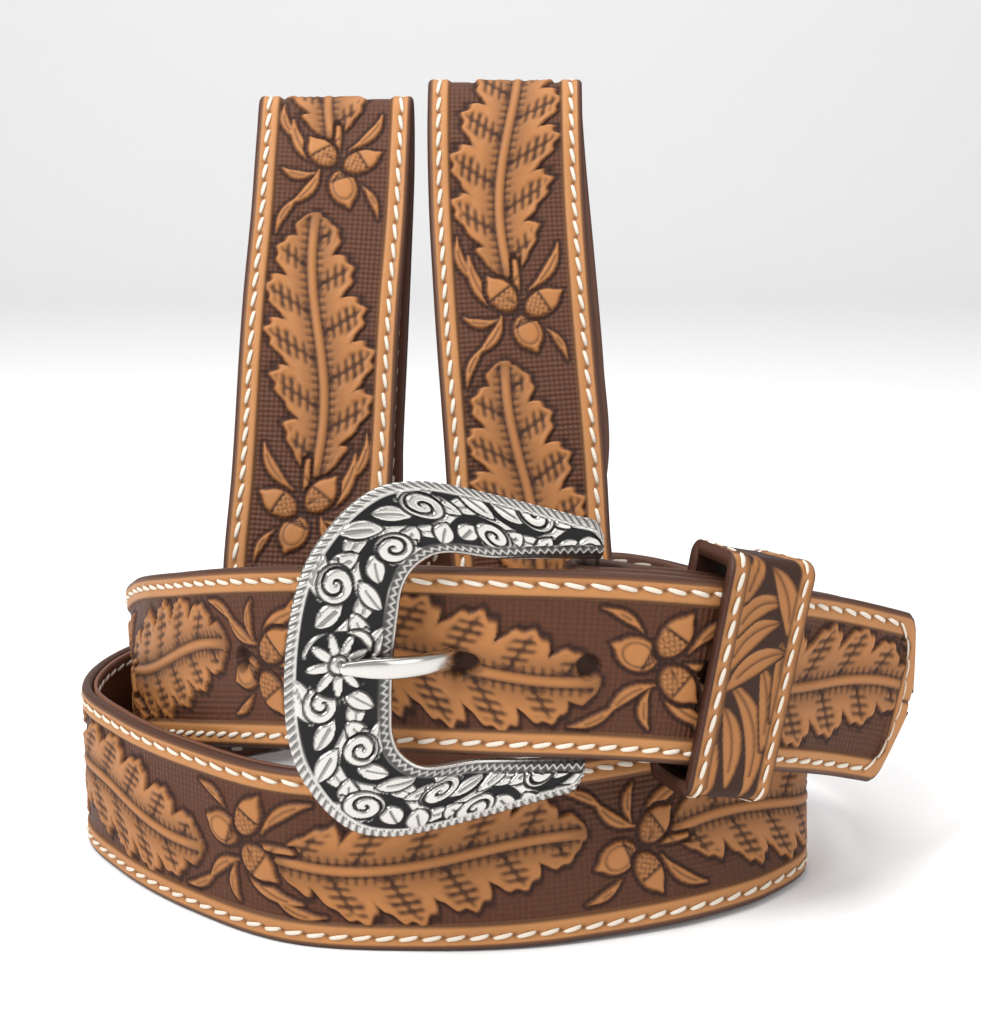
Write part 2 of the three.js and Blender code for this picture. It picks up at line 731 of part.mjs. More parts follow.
function buildTongue() {
  const depthUnit = STACK_OFFSET + LEATHER_THICKNESS;
  const line = TONGUE_LINE.map(([along, stand]) => (
    new THREE.Vector2(-along * BUCKLE_LENGTH, stand * depthUnit)
  ));
  const half = TONGUE_THICKNESS / 2;
  const sides = { over: [], under: [] };
  line.forEach((point, i) => {
    const before = line[Math.max(i - 1, 0)];
    const after = line[Math.min(i + 1, line.length - 1)];
    const direction = after.clone().sub(before).normalize();
    const normal = new THREE.Vector2(-direction.y, direction.x);
    const thick = i === line.length - 1 ? half * 0.6 : half;
    sides.over.push(point.clone().addScaledVector(normal, thick));
    sides.under.unshift(point.clone().addScaledVector(normal, -thick));
  });
  const shank = new THREE.ExtrudeGeometry(new THREE.Shape([...sides.over, ...sides.under]), {
    depth: TONGUE_WIDTH,
    bevelEnabled: false,
  });
  shank.translate(0, 0, -TONGUE_WIDTH / 2);
  const boreRadius = HINGE_RADIUS + FIT_GAP;
  const ring = new THREE.CylinderGeometry(
    boreRadius + TONGUE_RING_WALL, boreRadius + TONGUE_RING_WALL, TONGUE_WIDTH, 24,
  ).rotateX(Math.PI / 2);
  const bore = new THREE.CylinderGeometry(boreRadius, boreRadius, 2 * TONGUE_WIDTH, 24).rotateX(Math.PI / 2);
  const whole = toSolid(shank).add(toSolid(ring)).subtract(toSolid(bore));
  const matrix = new THREE.Matrix4().makeBasis(hingeFrame.tangent, hingeFrame.outward, hingeFrame.across);
  matrix.setPosition(pointOn(hingeFrame, 0, -HINGE_DEPTH));
  return toGeometry(whole).applyMatrix4(matrix);
}

const MATERIALS = {
  tooled: { color: 0x9a5a2c, roughness: 0.5, metalness: 0 },
  lining: { color: 0x6e3a22, roughness: 0.6, metalness: 0 },
  silver: { color: 0xb9b6ae, roughness: 0.28, metalness: 1 },
  plainMetal: { color: 0x9d9a92, roughness: 0.4, metalness: 1 },
};

function piece(name, geometry, material) {
  geometry.computeVertexNormals();
  const mesh = new THREE.Mesh(geometry, new THREE.MeshStandardMaterial(MATERIALS[material]));
  mesh.name = name;
  return mesh;
}

const belt = new THREE.Group();
belt.add(piece("strap", buildStrap(), "tooled"));
belt.add(piece("lining", buildLining(), "lining"));
belt.add(piece("buckle", buildBuckle(), "silver"));
belt.add(piece("tongue", buildTongue(), "silver"));
belt.add(piece("keeper", buildKeeper(), "tooled"));
belt.add(piece("snap_upper", buildSnap(SNAP_SPREAD / 2), "plainMetal"));
belt.add(piece("snap_lower", buildSnap(-SNAP_SPREAD / 2), "plainMetal"));

// The origin is the middle of the footprint, on the surface that the belt stands on
const bounds = new THREE.Box3().setFromObject(belt);
const middle = bounds.getCenter(new THREE.Vector3());
belt.position.set(-middle.x, -middle.y, -bounds.min.z);

export default belt;
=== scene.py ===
import math

import bpy
import numpy as np
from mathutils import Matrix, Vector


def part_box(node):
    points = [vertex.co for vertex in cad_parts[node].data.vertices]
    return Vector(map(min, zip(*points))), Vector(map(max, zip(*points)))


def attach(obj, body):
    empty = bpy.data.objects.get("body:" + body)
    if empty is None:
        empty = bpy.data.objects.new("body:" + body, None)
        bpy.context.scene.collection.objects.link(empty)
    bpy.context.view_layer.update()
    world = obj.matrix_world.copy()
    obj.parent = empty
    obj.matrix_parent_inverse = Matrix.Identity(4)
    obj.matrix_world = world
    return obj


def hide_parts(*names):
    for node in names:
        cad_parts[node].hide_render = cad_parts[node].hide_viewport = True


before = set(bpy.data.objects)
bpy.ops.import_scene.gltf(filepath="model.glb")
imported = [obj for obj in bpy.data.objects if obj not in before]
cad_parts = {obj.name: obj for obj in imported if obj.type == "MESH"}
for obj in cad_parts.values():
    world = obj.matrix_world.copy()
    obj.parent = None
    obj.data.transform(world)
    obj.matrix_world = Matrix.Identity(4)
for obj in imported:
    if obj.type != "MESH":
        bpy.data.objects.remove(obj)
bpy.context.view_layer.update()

bl_info = {
    "name": "Western tooled belt",
    "version": (1, 0, 0),
    "blender": (4, 5, 0),
    "location": "View3D > Sidebar > Belt",
    "description": "Dresses the rolled western belt with tooling, stitches and a cast buckle",
    "category": "Object",
}

MM = 0.001
TAU = 2 * math.pi

# Route of the strap: across, back and up are shares of the three roll sizes,
# and wx, wy, wz is the direction of the strap's width
ROLL_HALF_WIDTH = 93.0
ROLL_DEPTH = 112.0
LOOP_RISE = 154.5
TIP_STRETCH = (
    (0.984, 0.112, 0.14, 0, 0, 1), (0.892, 0.045, 0.166, 0, 0, 1),
    (0.796, -0.018, 0.19, 0, 0, 1), (0.624, -0.143, 0.229, 0, 0, 1),
    (0.484, -0.223, 0.254, 0, 0, 1), (0.237, -0.284, 0.278, 0, 0, 1),
    (0.022, -0.292, 0.284, 0, 0, 1), (-0.194, -0.265, 0.283, 0, 0, 1),
    (-0.444, -0.156, 0.262, 0, 0, 1), (-0.686, 0.058, 0.215, 0, 0, 1),
)
ROLLED_STRETCH = (
    (-0.847, 0.286, 0.162, 0, 0, 1), (-0.903, 0.446, 0.11, 0, 0, 1),
    (-0.871, 0.589, 0.078, 0, 0, 1), (-0.753, 0.714, 0.058, 0, 0, 1),
    (-0.602, 0.768, 0.078, -0.35, 0, 0.94), (-0.495, 0.79, 0.162, -0.78, 0, 0.62),
    (-0.452, 0.812, 0.285, -0.97, 0, 0.25), (-0.444, 0.835, 0.427, -1, 0, 0),
    (-0.43, 0.866, 0.602, -1, 0, 0), (-0.419, 0.902, 0.751, -1, 0, 0),
    (-0.411, 0.92, 0.88, -1, 0, 0), (-0.409, 0.888, 0.955, -1, 0, 0),
    (-0.409, 0.83, 0.974, -1, 0, 0), (-0.411, 0.777, 0.926, -1, 0, 0),
    (-0.419, 0.688, 0.803, -1, 0, 0), (-0.434, 0.611, 0.676, -1, 0, 0),
    (-0.453, 0.46, 0.412, -1, 0, 0), (-0.468, 0.375, 0.265, -1, 0, 0),
    (-0.462, 0.321, 0.149, -0.95, 0.1, 0.2), (-0.409, 0.312, 0.058, -0.75, 0.5, 0.45),
    (-0.301, 0.371, 0.01, -0.5, 0.707, 0.5), (-0.161, 0.455, 0.003, -0.3, 0.5, 0.8),
    (0.022, 0.491, 0.003, 0, 0.15, 1), (0.237, 0.482, 0.001, 0, 0, 1),
    (0.473, 0.442, 0.001, 0, 0, 1), (0.645, 0.366, 0.001, 0, 0, 1),
    (0.737, 0.268, 0.002, 0, 0, 1), (0.747, 0.152, 0.003, 0, 0.1, 1),
    (0.629, 0.027, 0.001, 0, 0.25, 0.95), (0.473, -0.067, 0.001, 0, 0.3, 0.95),
    (0.269, -0.156, 0.002, 0, 0.2, 1), (0.054, -0.214, 0.001, 0, 0.12, 1),
    (-0.151, -0.232, 0, 0, 0.05, 1), (-0.437, -0.209, 0, 0, 0, 1),
    (-0.687, -0.059, 0, 0, 0, 1), (-0.882, 0.125, 0, 0, 0, 1),
    (-0.997, 0.295, 0, 0, 0, 1), (-1, 0.464, 0, 0, 0, 1),
    (-0.925, 0.634, 0, 0, 0, 1), (-0.774, 0.786, 0.001, 0, 0, 1),
    (-0.559, 0.902, 0.005, 0, 0, 1), (-0.301, 0.973, 0.032, -0.2, 0, 1),
    (-0.086, 1, 0.097, -0.5, 0, 0.85), (0.065, 1, 0.22, -0.8, 0, 0.55),
    (0.134, 0.991, 0.369, -1, 0, 0.12), (0.118, 0.982, 0.524, -1, 0, 0),
    (0.086, 0.964, 0.718, -1, 0, 0), (0.056, 0.942, 0.887, -1, 0, 0),
    (0.043, 0.902, 0.971, -1, 0, 0), (0.039, 0.839, 1, -1, 0, 0),
    (0.038, 0.777, 0.951, -1, 0, 0), (0.043, 0.696, 0.822, -1, 0, 0),
    (0.058, 0.611, 0.676, -1, 0, 0), (0.092, 0.46, 0.412, -1, 0, 0),
    (0.102, 0.411, 0.304, -1, 0, 0), (0.118, 0.402, 0.22, -1, 0.05, 0),
    (0.151, 0.46, 0.175, -1, 0.1, 0), (0.204, 0.558, 0.168, -0.93, 0.2, 0.12),
    (0.312, 0.647, 0.149, -0.55, 0.1, 0.75), (0.452, 0.701, 0.12, -0.15, 0.05, 0.95),
    (0.624, 0.696, 0.097, 0, 0, 1), (0.774, 0.634, 0.091, 0, 0, 1),
    (0.86, 0.509, 0.097, 0, 0, 1), (0.887, 0.357, 0.107, 0, 0, 1),
    (0.862, 0.205, 0.133, 0, 0, 1),
)

# Sizes in millimetres
STRAP_WIDTH = 38.0
HALF_WIDTH = STRAP_WIDTH / 2
LEATHER = 2.4
LINING = 0.9
PLY_GAP = 0.45
STRAP_THICKNESS = LEATHER + LINING + PLY_GAP
OUTER_FACE = STRAP_THICKNESS / 2
LEATHER_BACK = OUTER_FACE - LEATHER
LINING_FRONT = LEATHER_BACK - PLY_GAP
LAYER_GAP = 0.5
FIT_GAP = 0.3
HINGE_RADIUS = 2.1
HINGE_PLACE = 90.0
FLAP_LENGTH = 44.0
STACK_OFFSET = STRAP_THICKNESS + LAYER_GAP
FOLD_RADIUS = HINGE_RADIUS + FIT_GAP - LEATHER_BACK
HINGE_DEPTH = STACK_OFFSET + FOLD_RADIUS
FLAP_DEPTH = OUTER_FACE + FIT_GAP - LEATHER_BACK
FULL_STANDOFF = 2 * FOLD_RADIUS - FLAP_DEPTH
FLAP_STANDOFF = ((0.07, 0.95), (0.15, 0.55), (0.22, 0.12), (0.3, 0), (0.5, 0), (0.75, 0), (1, 0))
TIP_LENGTH = 8.0
TIP_OUTLINE = ((0, 0.14), (0.14, 0.3), (0.4, 0.61), (0.66, 0.88), (0.82, 0.96), (1, 1))
HOLE_RADIUS = 2.3
HOLE_SPACING = 25.4
USED_HOLE = HINGE_PLACE + 25.3

# The tooled field and its repeat, a leaf and an acorn cluster
FIELD_HALF = 13.7
BORDER_WIDTH = HALF_WIDTH - FIELD_HALF
REPEAT = 85.0
TILE_STEP = 0.16
LEAF_BASE = 74.0
LEAF_LENGTH = 63.0
LEAF_HALF = 13.2
LEAF_SHOULDER = 22.0
LEAF_TAPER = 34.0
LEAF_WANDER = 2.3
LOBE_PITCH = 11.5
LOBE_STAGGER = 0.22
VEIN_LEAN = 0.62
RIPPLE_PITCH = 3.6
RIB_HALF = 1.3
MARK_PITCH = 1.9
HATCH_PITCH = 1.5
STAMP_PITCH = 1.1
TWIG_MARGIN = 0.7
# Cuts and holes in the face of the strap
CUT_DEPTH = 0.35
CUT_WIDTH = 0.32
TRENCH_DEPTH = 0.22
TRENCH_WIDTH = 0.75
PRICK_DEPTH = 0.3
HOLE_DEPTH = 2.1
HOLE_SOFTNESS = 0.25
USED_HOLE_REACH = 4.4
# The tooling and the stitches stop this far before the fold
FIELD_STOP = 6.0
STITCH_STOP = 14.0
# The rounded edge, the rows at the tip, and the lining's reach
EDGE_ROUND = 1.1
EDGE_ANGLES = np.linspace(0, 1, 6)[None, 1:-1] * math.pi
ROW_MARGIN = 0.3
TIP_ROWS = (0.3, 0.6, 0.9)
LINING_START = 1.2
LINING_STOP = 10.0
LINING_STEP = 1.1
LINING_INSET = 0.4
ROUND_TURN = np.arange(20) / 20 * TAU
# A stitch from end to end: shares of its length, radii and lift above the leather
STITCH_SHARES = np.array([-0.5, -0.36, -0.12, 0.12, 0.36, 0.5])
STITCH_RADII = np.array([0.15, 0.42, 0.5, 0.5, 0.42, 0.15])
STITCH_LIFT = np.array([-0.35, 0.02, 0.14, 0.14, 0.02, -0.35])
STITCH_TURN = np.arange(6) / 6 * TAU
STITCH_LENGTH = 3.9
STITCH_SLANT = 0.75
# Distance along the strap at which an acorn cluster stands, and its number in the row;
# the clusters between stand evenly
CLUSTER_PLACES = ((-9, -1), (76, 0), (161, 1), (459, 5), (545, 6), (783, 9), (868, 10),
                  (1194, 14), (1280, 15), (1620, 19))


class StrapSettings(bpy.types.PropertyGroup):
    grid_along: bpy.props.FloatProperty(
        name="Grid along", description="Step along the strap where it shows in front, in millimetres",
        default=0.4, min=0.3, max=4)
    hidden_along: bpy.props.FloatProperty(
        name="Back grid along", description="Step along the strap in the curls and backs, in millimetres",
        default=0.9, min=0.3, max=4)
    grid_across: bpy.props.FloatProperty(
        name="Grid across", description="Step of the tooled surface across the strap, in millimetres",
        default=0.38, min=0.3, max=4)
    relief: bpy.props.FloatProperty(
        name="Relief", description="Depth of the tooled ground below the border, in millimetres",
        default=0.75, min=0, max=1.5)
    stitch_pitch: bpy.props.FloatProperty(
        name="Stitch pitch", description="Distance from one stitch to the next, in millimetres",
        default=4.7, min=2, max=10)
    stitch_inset: bpy.props.FloatProperty(
        name="Stitch inset", description="Distance of the stitch line from the edge, in millimetres",
        default=2.8, min=1.5, max=5)


class LeatherSettings(bpy.types.PropertyGroup):
    border: bpy.props.FloatVectorProperty(
        name="Border", description="Tan of the smooth border", subtype="COLOR",
        default=(0.49, 0.215, 0.072), min=0, max=1)
    raised: bpy.props.FloatVectorProperty(
        name="Raised", description="Tan of the raised motifs", subtype="COLOR",
        default=(0.45, 0.18, 0.052), min=0, max=1)
    ground: bpy.props.FloatVectorProperty(
        name="Ground", description="Red brown of the stamped ground", subtype="COLOR",
        default=(0.085, 0.02, 0.006), min=0, max=1)
    # The antiquing colour is the dark paste in the cuts; it also serves as painted shade in the belt holes,
    # the stitch pricks and the lining's stitch groove.
    antique_and_shade: bpy.props.FloatVectorProperty(
        name="Antiquing", description="Dark paste left in the cuts", subtype="COLOR",
        default=(0.022, 0.006, 0.003), min=0, max=1)
    edge: bpy.props.FloatVectorProperty(
        name="Edge", description="Burnished edge", subtype="COLOR",
        default=(0.06, 0.022, 0.012), min=0, max=1)
    lining: bpy.props.FloatVectorProperty(
        name="Lining", description="Reddish brown lining", subtype="COLOR",
        default=(0.17, 0.06, 0.028), min=0, max=1)
    thread: bpy.props.FloatVectorProperty(
        name="Thread", description="White waxed thread", subtype="COLOR",
        default=(0.74, 0.66, 0.55), min=0, max=1)


class BuckleSettings(bpy.types.PropertyGroup):
    length: bpy.props.FloatProperty(
        name="Length", description="From the hinge bar to the far side, in millimetres",
        default=61, min=40, max=90)
    height: bpy.props.FloatProperty(
        name="Height", description="Overall height, in millimetres", default=71, min=50, max=100)
    bar_width: bpy.props.FloatProperty(
        name="Bar width", description="Width of the far bar, in millimetres", default=21.8, min=8, max=30)
    lean: bpy.props.FloatProperty(
        name="Lean", description="Lean of the frame from the strap", subtype="ANGLE",
        default=math.radians(12), min=0, max=0.5)
    silver: bpy.props.FloatVectorProperty(
        name="Silver", description="Polished silver", subtype="COLOR",
        default=(0.62, 0.6, 0.565), min=0, max=1)
    black: bpy.props.FloatVectorProperty(
        name="Black", description="Blackened recess", subtype="COLOR",
        default=(0.012, 0.012, 0.014), min=0, max=1)


class StageSettings(bpy.types.PropertyGroup):
    pitch: bpy.props.FloatProperty(
        name="Pitch", description="Downward pitch of the camera", subtype="ANGLE",
        default=math.radians(12), min=0, max=1.2)
    lens: bpy.props.FloatProperty(
        name="Lens", description="Focal length on a 36 mm sensor, in millimetres",
        default=68.55, min=20, max=200)
    eye_height: bpy.props.FloatProperty(
        name="Eye height", description="Height of the camera above the floor",
        subtype="DISTANCE", unit="LENGTH", default=0.171, min=0.02, max=1)
    distance: bpy.props.FloatProperty(
        name="Distance", description="Distance of the camera in front of the roll's reference line",
        subtype="DISTANCE", unit="LENGTH", default=0.4, min=0.1, max=2)


# Stretches that face the front, and the places where the tooled strap is divided
SHOWN_STRETCHES = ((0, 185), (440, 556), (725, 910), (1210, 1330))
HIDDEN_JOINS = (240, 640, 985, 1400)


def station_rows(rows):
    """Stations in millimetres from their shares of the roll."""
    table = np.array(rows, float)
    places = table[:, :3] * (ROLL_HALF_WIDTH, ROLL_DEPTH, LOOP_RISE)
    places[:, 2] += HALF_WIDTH
    return np.hstack([places, table[:, 3:]])


def unit(vectors):
    """Vectors made one long."""
    return vectors / np.linalg.norm(vectors, axis=-1, keepdims=True)


class Route:
    """A smooth line through stations, each a place and the direction of the strap's width."""

    def __init__(self, stations, samples=16):
        spans = np.linalg.norm(np.diff(stations[:, :3], axis=0), axis=1)
        chords = np.diff(stations, axis=0) / spans[:, None]
        slopes = np.vstack([chords[:1], chords[-1:]])
        inner = (chords[:-1] * spans[1:, None] + chords[1:] * spans[:-1, None])
        inner /= (spans[:-1] + spans[1:])[:, None]
        slopes = np.vstack([chords[:1], inner, chords[-1:]])
        t = (np.arange(samples) / samples)[None, :, None]
        span = spans[:, None, None]
        start, end = stations[:-1, None, :], stations[1:, None, :]
        leave, reach = slopes[:-1, None, :], slopes[1:, None, :]
        rows = ((2 * t**3 - 3 * t**2 + 1) * start + (t**3 - 2 * t**2 + t) * span * leave
                + (3 * t**2 - 2 * t**3) * end + (t**3 - t**2) * span * reach)
        rows = np.vstack([rows.reshape(-1, 6), stations[-1:]])
        self.place = rows[:, :3]
        self.tangent = unit(np.gradient(self.place, axis=0))
        across = rows[:, 3:]
        across = across - np.sum(across * self.tangent, axis=1, keepdims=True) * self.tangent
        self.across = unit(across)
        steps = np.linalg.norm(np.diff(self.place, axis=0), axis=1)
        self.distance = np.concatenate([[0], np.cumsum(steps)])
        self.length = self.distance[-1]

    def at(self, distance):
        distance = np.asarray(distance, float)

        def mix(values):
            parts = [np.interp(distance, self.distance, values[:, k]) for k in range(3)]
            return np.stack(parts, axis=-1)

        tangent = unit(mix(self.tangent))
        across = mix(self.across)
        across = unit(across - np.sum(across * tangent, axis=-1, keepdims=True) * tangent)
        return mix(self.place), tangent, across, np.cross(across, tangent)

    def point(self, distance, width, depth, along=0.0):
        place, tangent, across, outward = self.at(distance)
        width, depth = np.asarray(width)[..., None], np.asarray(depth)[..., None]
        return place + across * width + outward * depth + tangent * along


def whole_route():
    """The main stretch, the buckle end behind the tip, the fold and the flap."""
    main = station_rows(TIP_STRETCH + ROLLED_STRETCH)
    tip = Route(main[:len(TIP_STRETCH)])
    rows = [main]
    for place in np.linspace(29, HINGE_PLACE - 7, 7):
        rows.append(np.hstack([tip.point(place, 0, -STACK_OFFSET), tip.at(place)[2]])[None])
    _, _, hinge_across, _ = tip.at(HINGE_PLACE)
    for angle in np.linspace(0, math.pi, 7):
        depth = -HINGE_DEPTH + FOLD_RADIUS * math.cos(angle)
        spot = tip.point(HINGE_PLACE, 0, depth, FOLD_RADIUS * math.sin(angle))
        rows.append(np.hstack([spot, hinge_across])[None])
    for share, standoff in FLAP_STANDOFF:
        place = HINGE_PLACE - share * FLAP_LENGTH
        depth = -STACK_OFFSET - FLAP_DEPTH - standoff * FULL_STANDOFF
        rows.append(np.hstack([tip.point(place, 0, depth), tip.at(place)[2]])[None])
    return tip, Route(np.vstack(rows)), (len(main) + 7) * 16


TIP_ROUTE, ROUTE, FOLD_SAMPLE = whole_route()
FOLD_START = ROUTE.distance[FOLD_SAMPLE]


def half_width_at(distance):
    """Half the strap's width, which narrows to the tip."""
    shares, widths = np.array(TIP_OUTLINE).T
    return HALF_WIDTH * np.interp(np.asarray(distance) / TIP_LENGTH, shares, widths)


def frame_shift():
    """The frame's origin is the middle of the footprint, so the route moves to the frame's strap."""
    steps = np.linspace(0, ROUTE.length, 1200)
    half = half_width_at(steps)
    spots = [ROUTE.point(steps, side * half, depth) for side in (-1, 1)
             for depth in (LEATHER_BACK, OUTER_FACE)]
    return np.array(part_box("strap")[0]) / MM - np.concatenate(spots).min(axis=0)


SHIFT = frame_shift()


def to_frame(points):
    """Places in the frame, in metres, from millimetres along the route."""
    return (np.asarray(points).reshape(-1, 3) + SHIFT) * MM


def ramp(low, high, value):
    """A smooth step from 0 at low to 1 at high."""
    t = np.clip((value - low) / (high - low), 0, 1)
    return t * t * (3 - 2 * t)


def ridge(value, width):
    """A rounded ridge, 1 where the value is 0."""
    return np.exp(-(value / width) ** 2)


def stroke_distance(x, y, points, steps=10):
    """Distance to a smooth bent stroke, and the share run along it."""
    p0, p1, p2 = (np.array(point, float) for point in points)
    t = np.linspace(0, 1, steps + 1)[:, None]
    path = (1 - t) ** 2 * p0 + 2 * t * (1 - t) * p1 + t * t * p2
    best = np.full(x.shape, 99.0)
    share = np.zeros(x.shape)
    for number, (start, end) in enumerate(zip(path[:-1], path[1:])):
        dx, dy = end - start
        run = np.clip(((x - start[0]) * dx + (y - start[1]) * dy) / (dx * dx + dy * dy), 0, 1)
        away = np.hypot(x - start[0] - run * dx, y - start[1] - run * dy)
        share = np.where(away < best, (number + run) / steps, share)
        best = np.minimum(best, away)
    return best, share


def leaf_fields(x, y):
    """A lobed oak leaf from its base at 0 to its tip, with veins and tool marks."""
    share = x / LEAF_LENGTH
    middle = LEAF_WANDER * np.sin(TAU * (share * 0.8 + 0.06)) - 1.2 * share
    offset = y - middle
    away = np.abs(offset)
    side = np.sign(offset)
    lean = x - VEIN_LEAN * away
    phase = lean / LOBE_PITCH + LOBE_STAGGER * side
    from_vein = np.abs(phase - np.round(phase))

    near_base = np.clip((lean + 3) / LEAF_SHOULDER, 0, 1)
    near_tip = np.clip((LEAF_LENGTH - x) / LEAF_TAPER, 0, 1)
    body = LEAF_HALF * np.sqrt(1 - (1 - near_base) ** 2) * np.sqrt(1 - (1 - near_tip) ** 2) ** 1.1
    lobe = np.abs(np.cos(np.pi * phase))
    ripple = 0.05 * np.cos(TAU * (lean + 0.3 * away) / RIPPLE_PITCH + side)
    half = body * (0.56 + 0.42 * lobe**0.6 + ripple)
    inside = np.minimum((half - away) * 0.75, LEAF_LENGTH - x)

    vein = from_vein * LOBE_PITCH
    reach = ramp(0.3, 1.6, inside)
    core = ramp(0.8, 2.2, inside)
    rib = ridge(offset, 0.75) * ramp(-1, 2, x) * ramp(LEAF_LENGTH, LEAF_LENGTH - 8, x)
    rib_cut = ridge(away - RIB_HALF, 0.45) * reach
    vein_cut = ridge(vein, 0.5) * core * ramp(1, 1.8, away)
    beat = 0.5 + 0.5 * np.cos(TAU * away / MARK_PITCH)
    marks = beat * ramp(0.1, 0.5, vein) * ramp(3.6, 2.0, vein) * ramp(0.8, 2.0, inside)
    marks *= ramp(1.2, 2.2, away)
    rib_beat = 0.5 + 0.5 * np.cos(TAU * x / MARK_PITCH)
    marks = np.maximum(marks, rib_beat * ridge(away - RIB_HALF - 1.0, 0.9) * reach)
    dent = ridge((from_vein - 0.28) * LOBE_PITCH, 1.3)
    dent *= ramp(2.0, 3.4, inside) * ramp(5.5, 7.5, away)

    height = 0.16 * rib - 0.34 * (rib_cut + vein_cut) - 0.3 * (marks + dent)
    height += 0.16 * ridge(inside - 0.9, 0.6)
    dark = np.clip(0.85 * rib_cut + 0.9 * vein_cut + 0.85 * marks + 0.42 * dent, 0, 1)
    dark = np.maximum(dark, 0.42 * ramp(7.0, 1.5, away) * (1 - rib))
    pits = ridge(from_vein - 0.5, 0.045) * ridge(inside + 0.4, 1.3)
    return inside, height, dark, pits


# Acorns of one cluster: place along and across, turn in degrees, half length, half width,
# and whether the hatched cup covers half of the nut
ACORNS = (
    (4.6, 3.0, 20, 4.6, 3.5, False),
    (-2.6, 7.0, 120, 4.7, 3.2, True),
    (-5.0, -2.6, 215, 4.8, 3.3, True),
)
# Twigs and flourish: three points each, then the thinnest and the fullest half width
STROKES = (
    ((-2, 0), (-7, 1.5), (-13, 1), 0.8, 1.0),
    ((-2, 1), (-1, 4), (-3, 6), 0.7, 0.7),
    ((-2, 0), (2, 1), (4, 2), 0.8, 0.7),
    ((-1, -2), (-5, -9.5), (-15, -10), 0.5, 1.7),
    ((-8, -8), (-13, -13.5), (-20, -12.4), 0.3, 1.3),
    ((-6, 4), (-10, 10.5), (-17, 11.6), 0.4, 1.5),
    ((0, -3), (6, -4), (9, -9.5), 0.4, 1.5),
    ((7, -7), (11, -12), (17, -12.4), 0.3, 1.2),
    ((1, -4), (3, -8.5), (0, -12), 0.4, 1.3),
    ((4, 7.5), (7, 11), (12, 11.9), 0.3, 1.1),
)


def lay_stroke(fields, x, y, stroke):
    """Lays one grooved stroke over the fields of depth inside, height and dark."""
    inside, height, dark = fields
    *points, thin, full = stroke
    away, share = stroke_distance(x, y, points)
    width = thin + (full - thin) * np.sin(np.pi * np.clip(share * 0.97, 0, 1)) ** 1.4
    fresh = width - away > inside
    groove = ridge(away, 0.28) * (width > 1.0)
    height = np.where(fresh, -0.25 * groove, height)
    dark = np.where(fresh, 0.7 * groove, dark)
    return np.maximum(inside, width - away), height, dark


def lay_acorn(fields, x, y, acorn):
    """Lays one acorn over the fields: a domed nut with a point, and its hatched cup."""
    inside, height, dark = fields
    along, across, turn, half_length, half_width, big_cup = acorn
    c, s = math.cos(math.radians(turn)), math.sin(math.radians(turn))
    u, q = (x - along) * c + (y - across) * s, -(x - along) * s + (y - across) * c
    radius = np.sqrt((u / half_length) ** 2 + (q / half_width) ** 2)
    point = 0.9 * ramp(0.6, 1.1, u / half_length) * ridge(q, 0.8)
    depth = (1 - radius) * half_width + point
    hatch = np.maximum(ridge((u + q) % HATCH_PITCH - HATCH_PITCH / 2, 0.22),
                       ridge((u - q) % HATCH_PITCH - HATCH_PITCH / 2, 0.22))
    brim = 0.5 if big_cup else -2.2
    in_cup = ramp(0.7, 0.3, u) if big_cup else ramp(-2.2, -2.7, u)
    rim = ridge(u - brim, 0.3)
    ring = np.zeros(x.shape) if big_cup else ridge(radius - 0.68, 0.07)
    dome = 0.3 * np.sqrt(np.clip(1 - radius**2, 0, 1))
    fresh = depth > -0.8
    height = np.where(fresh, dome - 0.22 * hatch * in_cup - 0.3 * rim - 0.25 * ring, height)
    dark = np.where(fresh, np.clip(0.75 * hatch * in_cup + rim + 0.7 * ring, 0, 1), dark)
    return np.where(fresh, depth, inside), height, dark


def cluster_fields(x, y):
    """Depth inside, height and dark of one acorn cluster with its twigs and flourish."""
    fields = (np.full(x.shape, -9.0), np.zeros(x.shape), np.zeros(x.shape))
    for stroke in STROKES:
        fields = lay_stroke(fields, x, y, stroke)
    for acorn in ACORNS:
        fields = lay_acorn(fields, x, y, acorn)
    return fields


class Tile:
    """One repeat of the tooling: height as a share of the relief, and where it is dark or raised."""

    def __init__(self):
        xs = np.arange(0, REPEAT + TILE_STEP, TILE_STEP)
        ys = np.arange(-FIELD_HALF, FIELD_HALF + TILE_STEP, TILE_STEP)
        x, y = np.meshgrid(xs, ys, indexing="ij")
        leaf, leaf_height, leaf_dark, pits = leaf_fields(LEAF_BASE - x, y)
        # The far half of the cluster belongs to the next repeat, which is mirrored
        far = x > REPEAT / 2
        twig, twig_height, twig_dark = cluster_fields(np.where(far, x - REPEAT, x), np.where(far, -y, y))
        on_twig = twig > -TWIG_MARGIN
        inside = np.where(on_twig, twig, leaf)
        height = np.where(on_twig, twig_height, leaf_height)
        dark = np.where(on_twig, twig_dark, leaf_dark)
        raised = ramp(-0.15, 0.65, inside)
        outline = ridge(inside + 0.45, 0.75) * (inside < 0.15)
        stamp = 0.5 + 0.5 * np.cos(TAU * (x + y) / STAMP_PITCH) * np.cos(TAU * (x - y) / STAMP_PITCH)
        ground = 1 - raised
        self.height = raised * (1 + height) - 1 - 0.22 * ridge(inside + 0.5, 0.7)
        self.height += 0.12 * ground * stamp - 0.35 * pits
        dark = np.maximum(dark * raised, 0.95 * outline)
        dark = np.maximum(dark, ground * (0.1 + 0.3 * (1 - stamp)))
        self.dark = np.clip(np.maximum(dark, pits * 0.95), 0, 1)
        self.raised = raised

    def sample(self, values, x, y):
        i = np.clip(x / TILE_STEP, 0, values.shape[0] - 1.001)
        j = np.clip((y + FIELD_HALF) / TILE_STEP, 0, values.shape[1] - 1.001)
        i0, j0 = i.astype(int), j.astype(int)
        a, b = i - i0, j - j0
        near = values[i0, j0] * (1 - a) + values[i0 + 1, j0] * a
        far = values[i0, j0 + 1] * (1 - a) + values[i0 + 1, j0 + 1] * a
        return near * (1 - b) + far * b


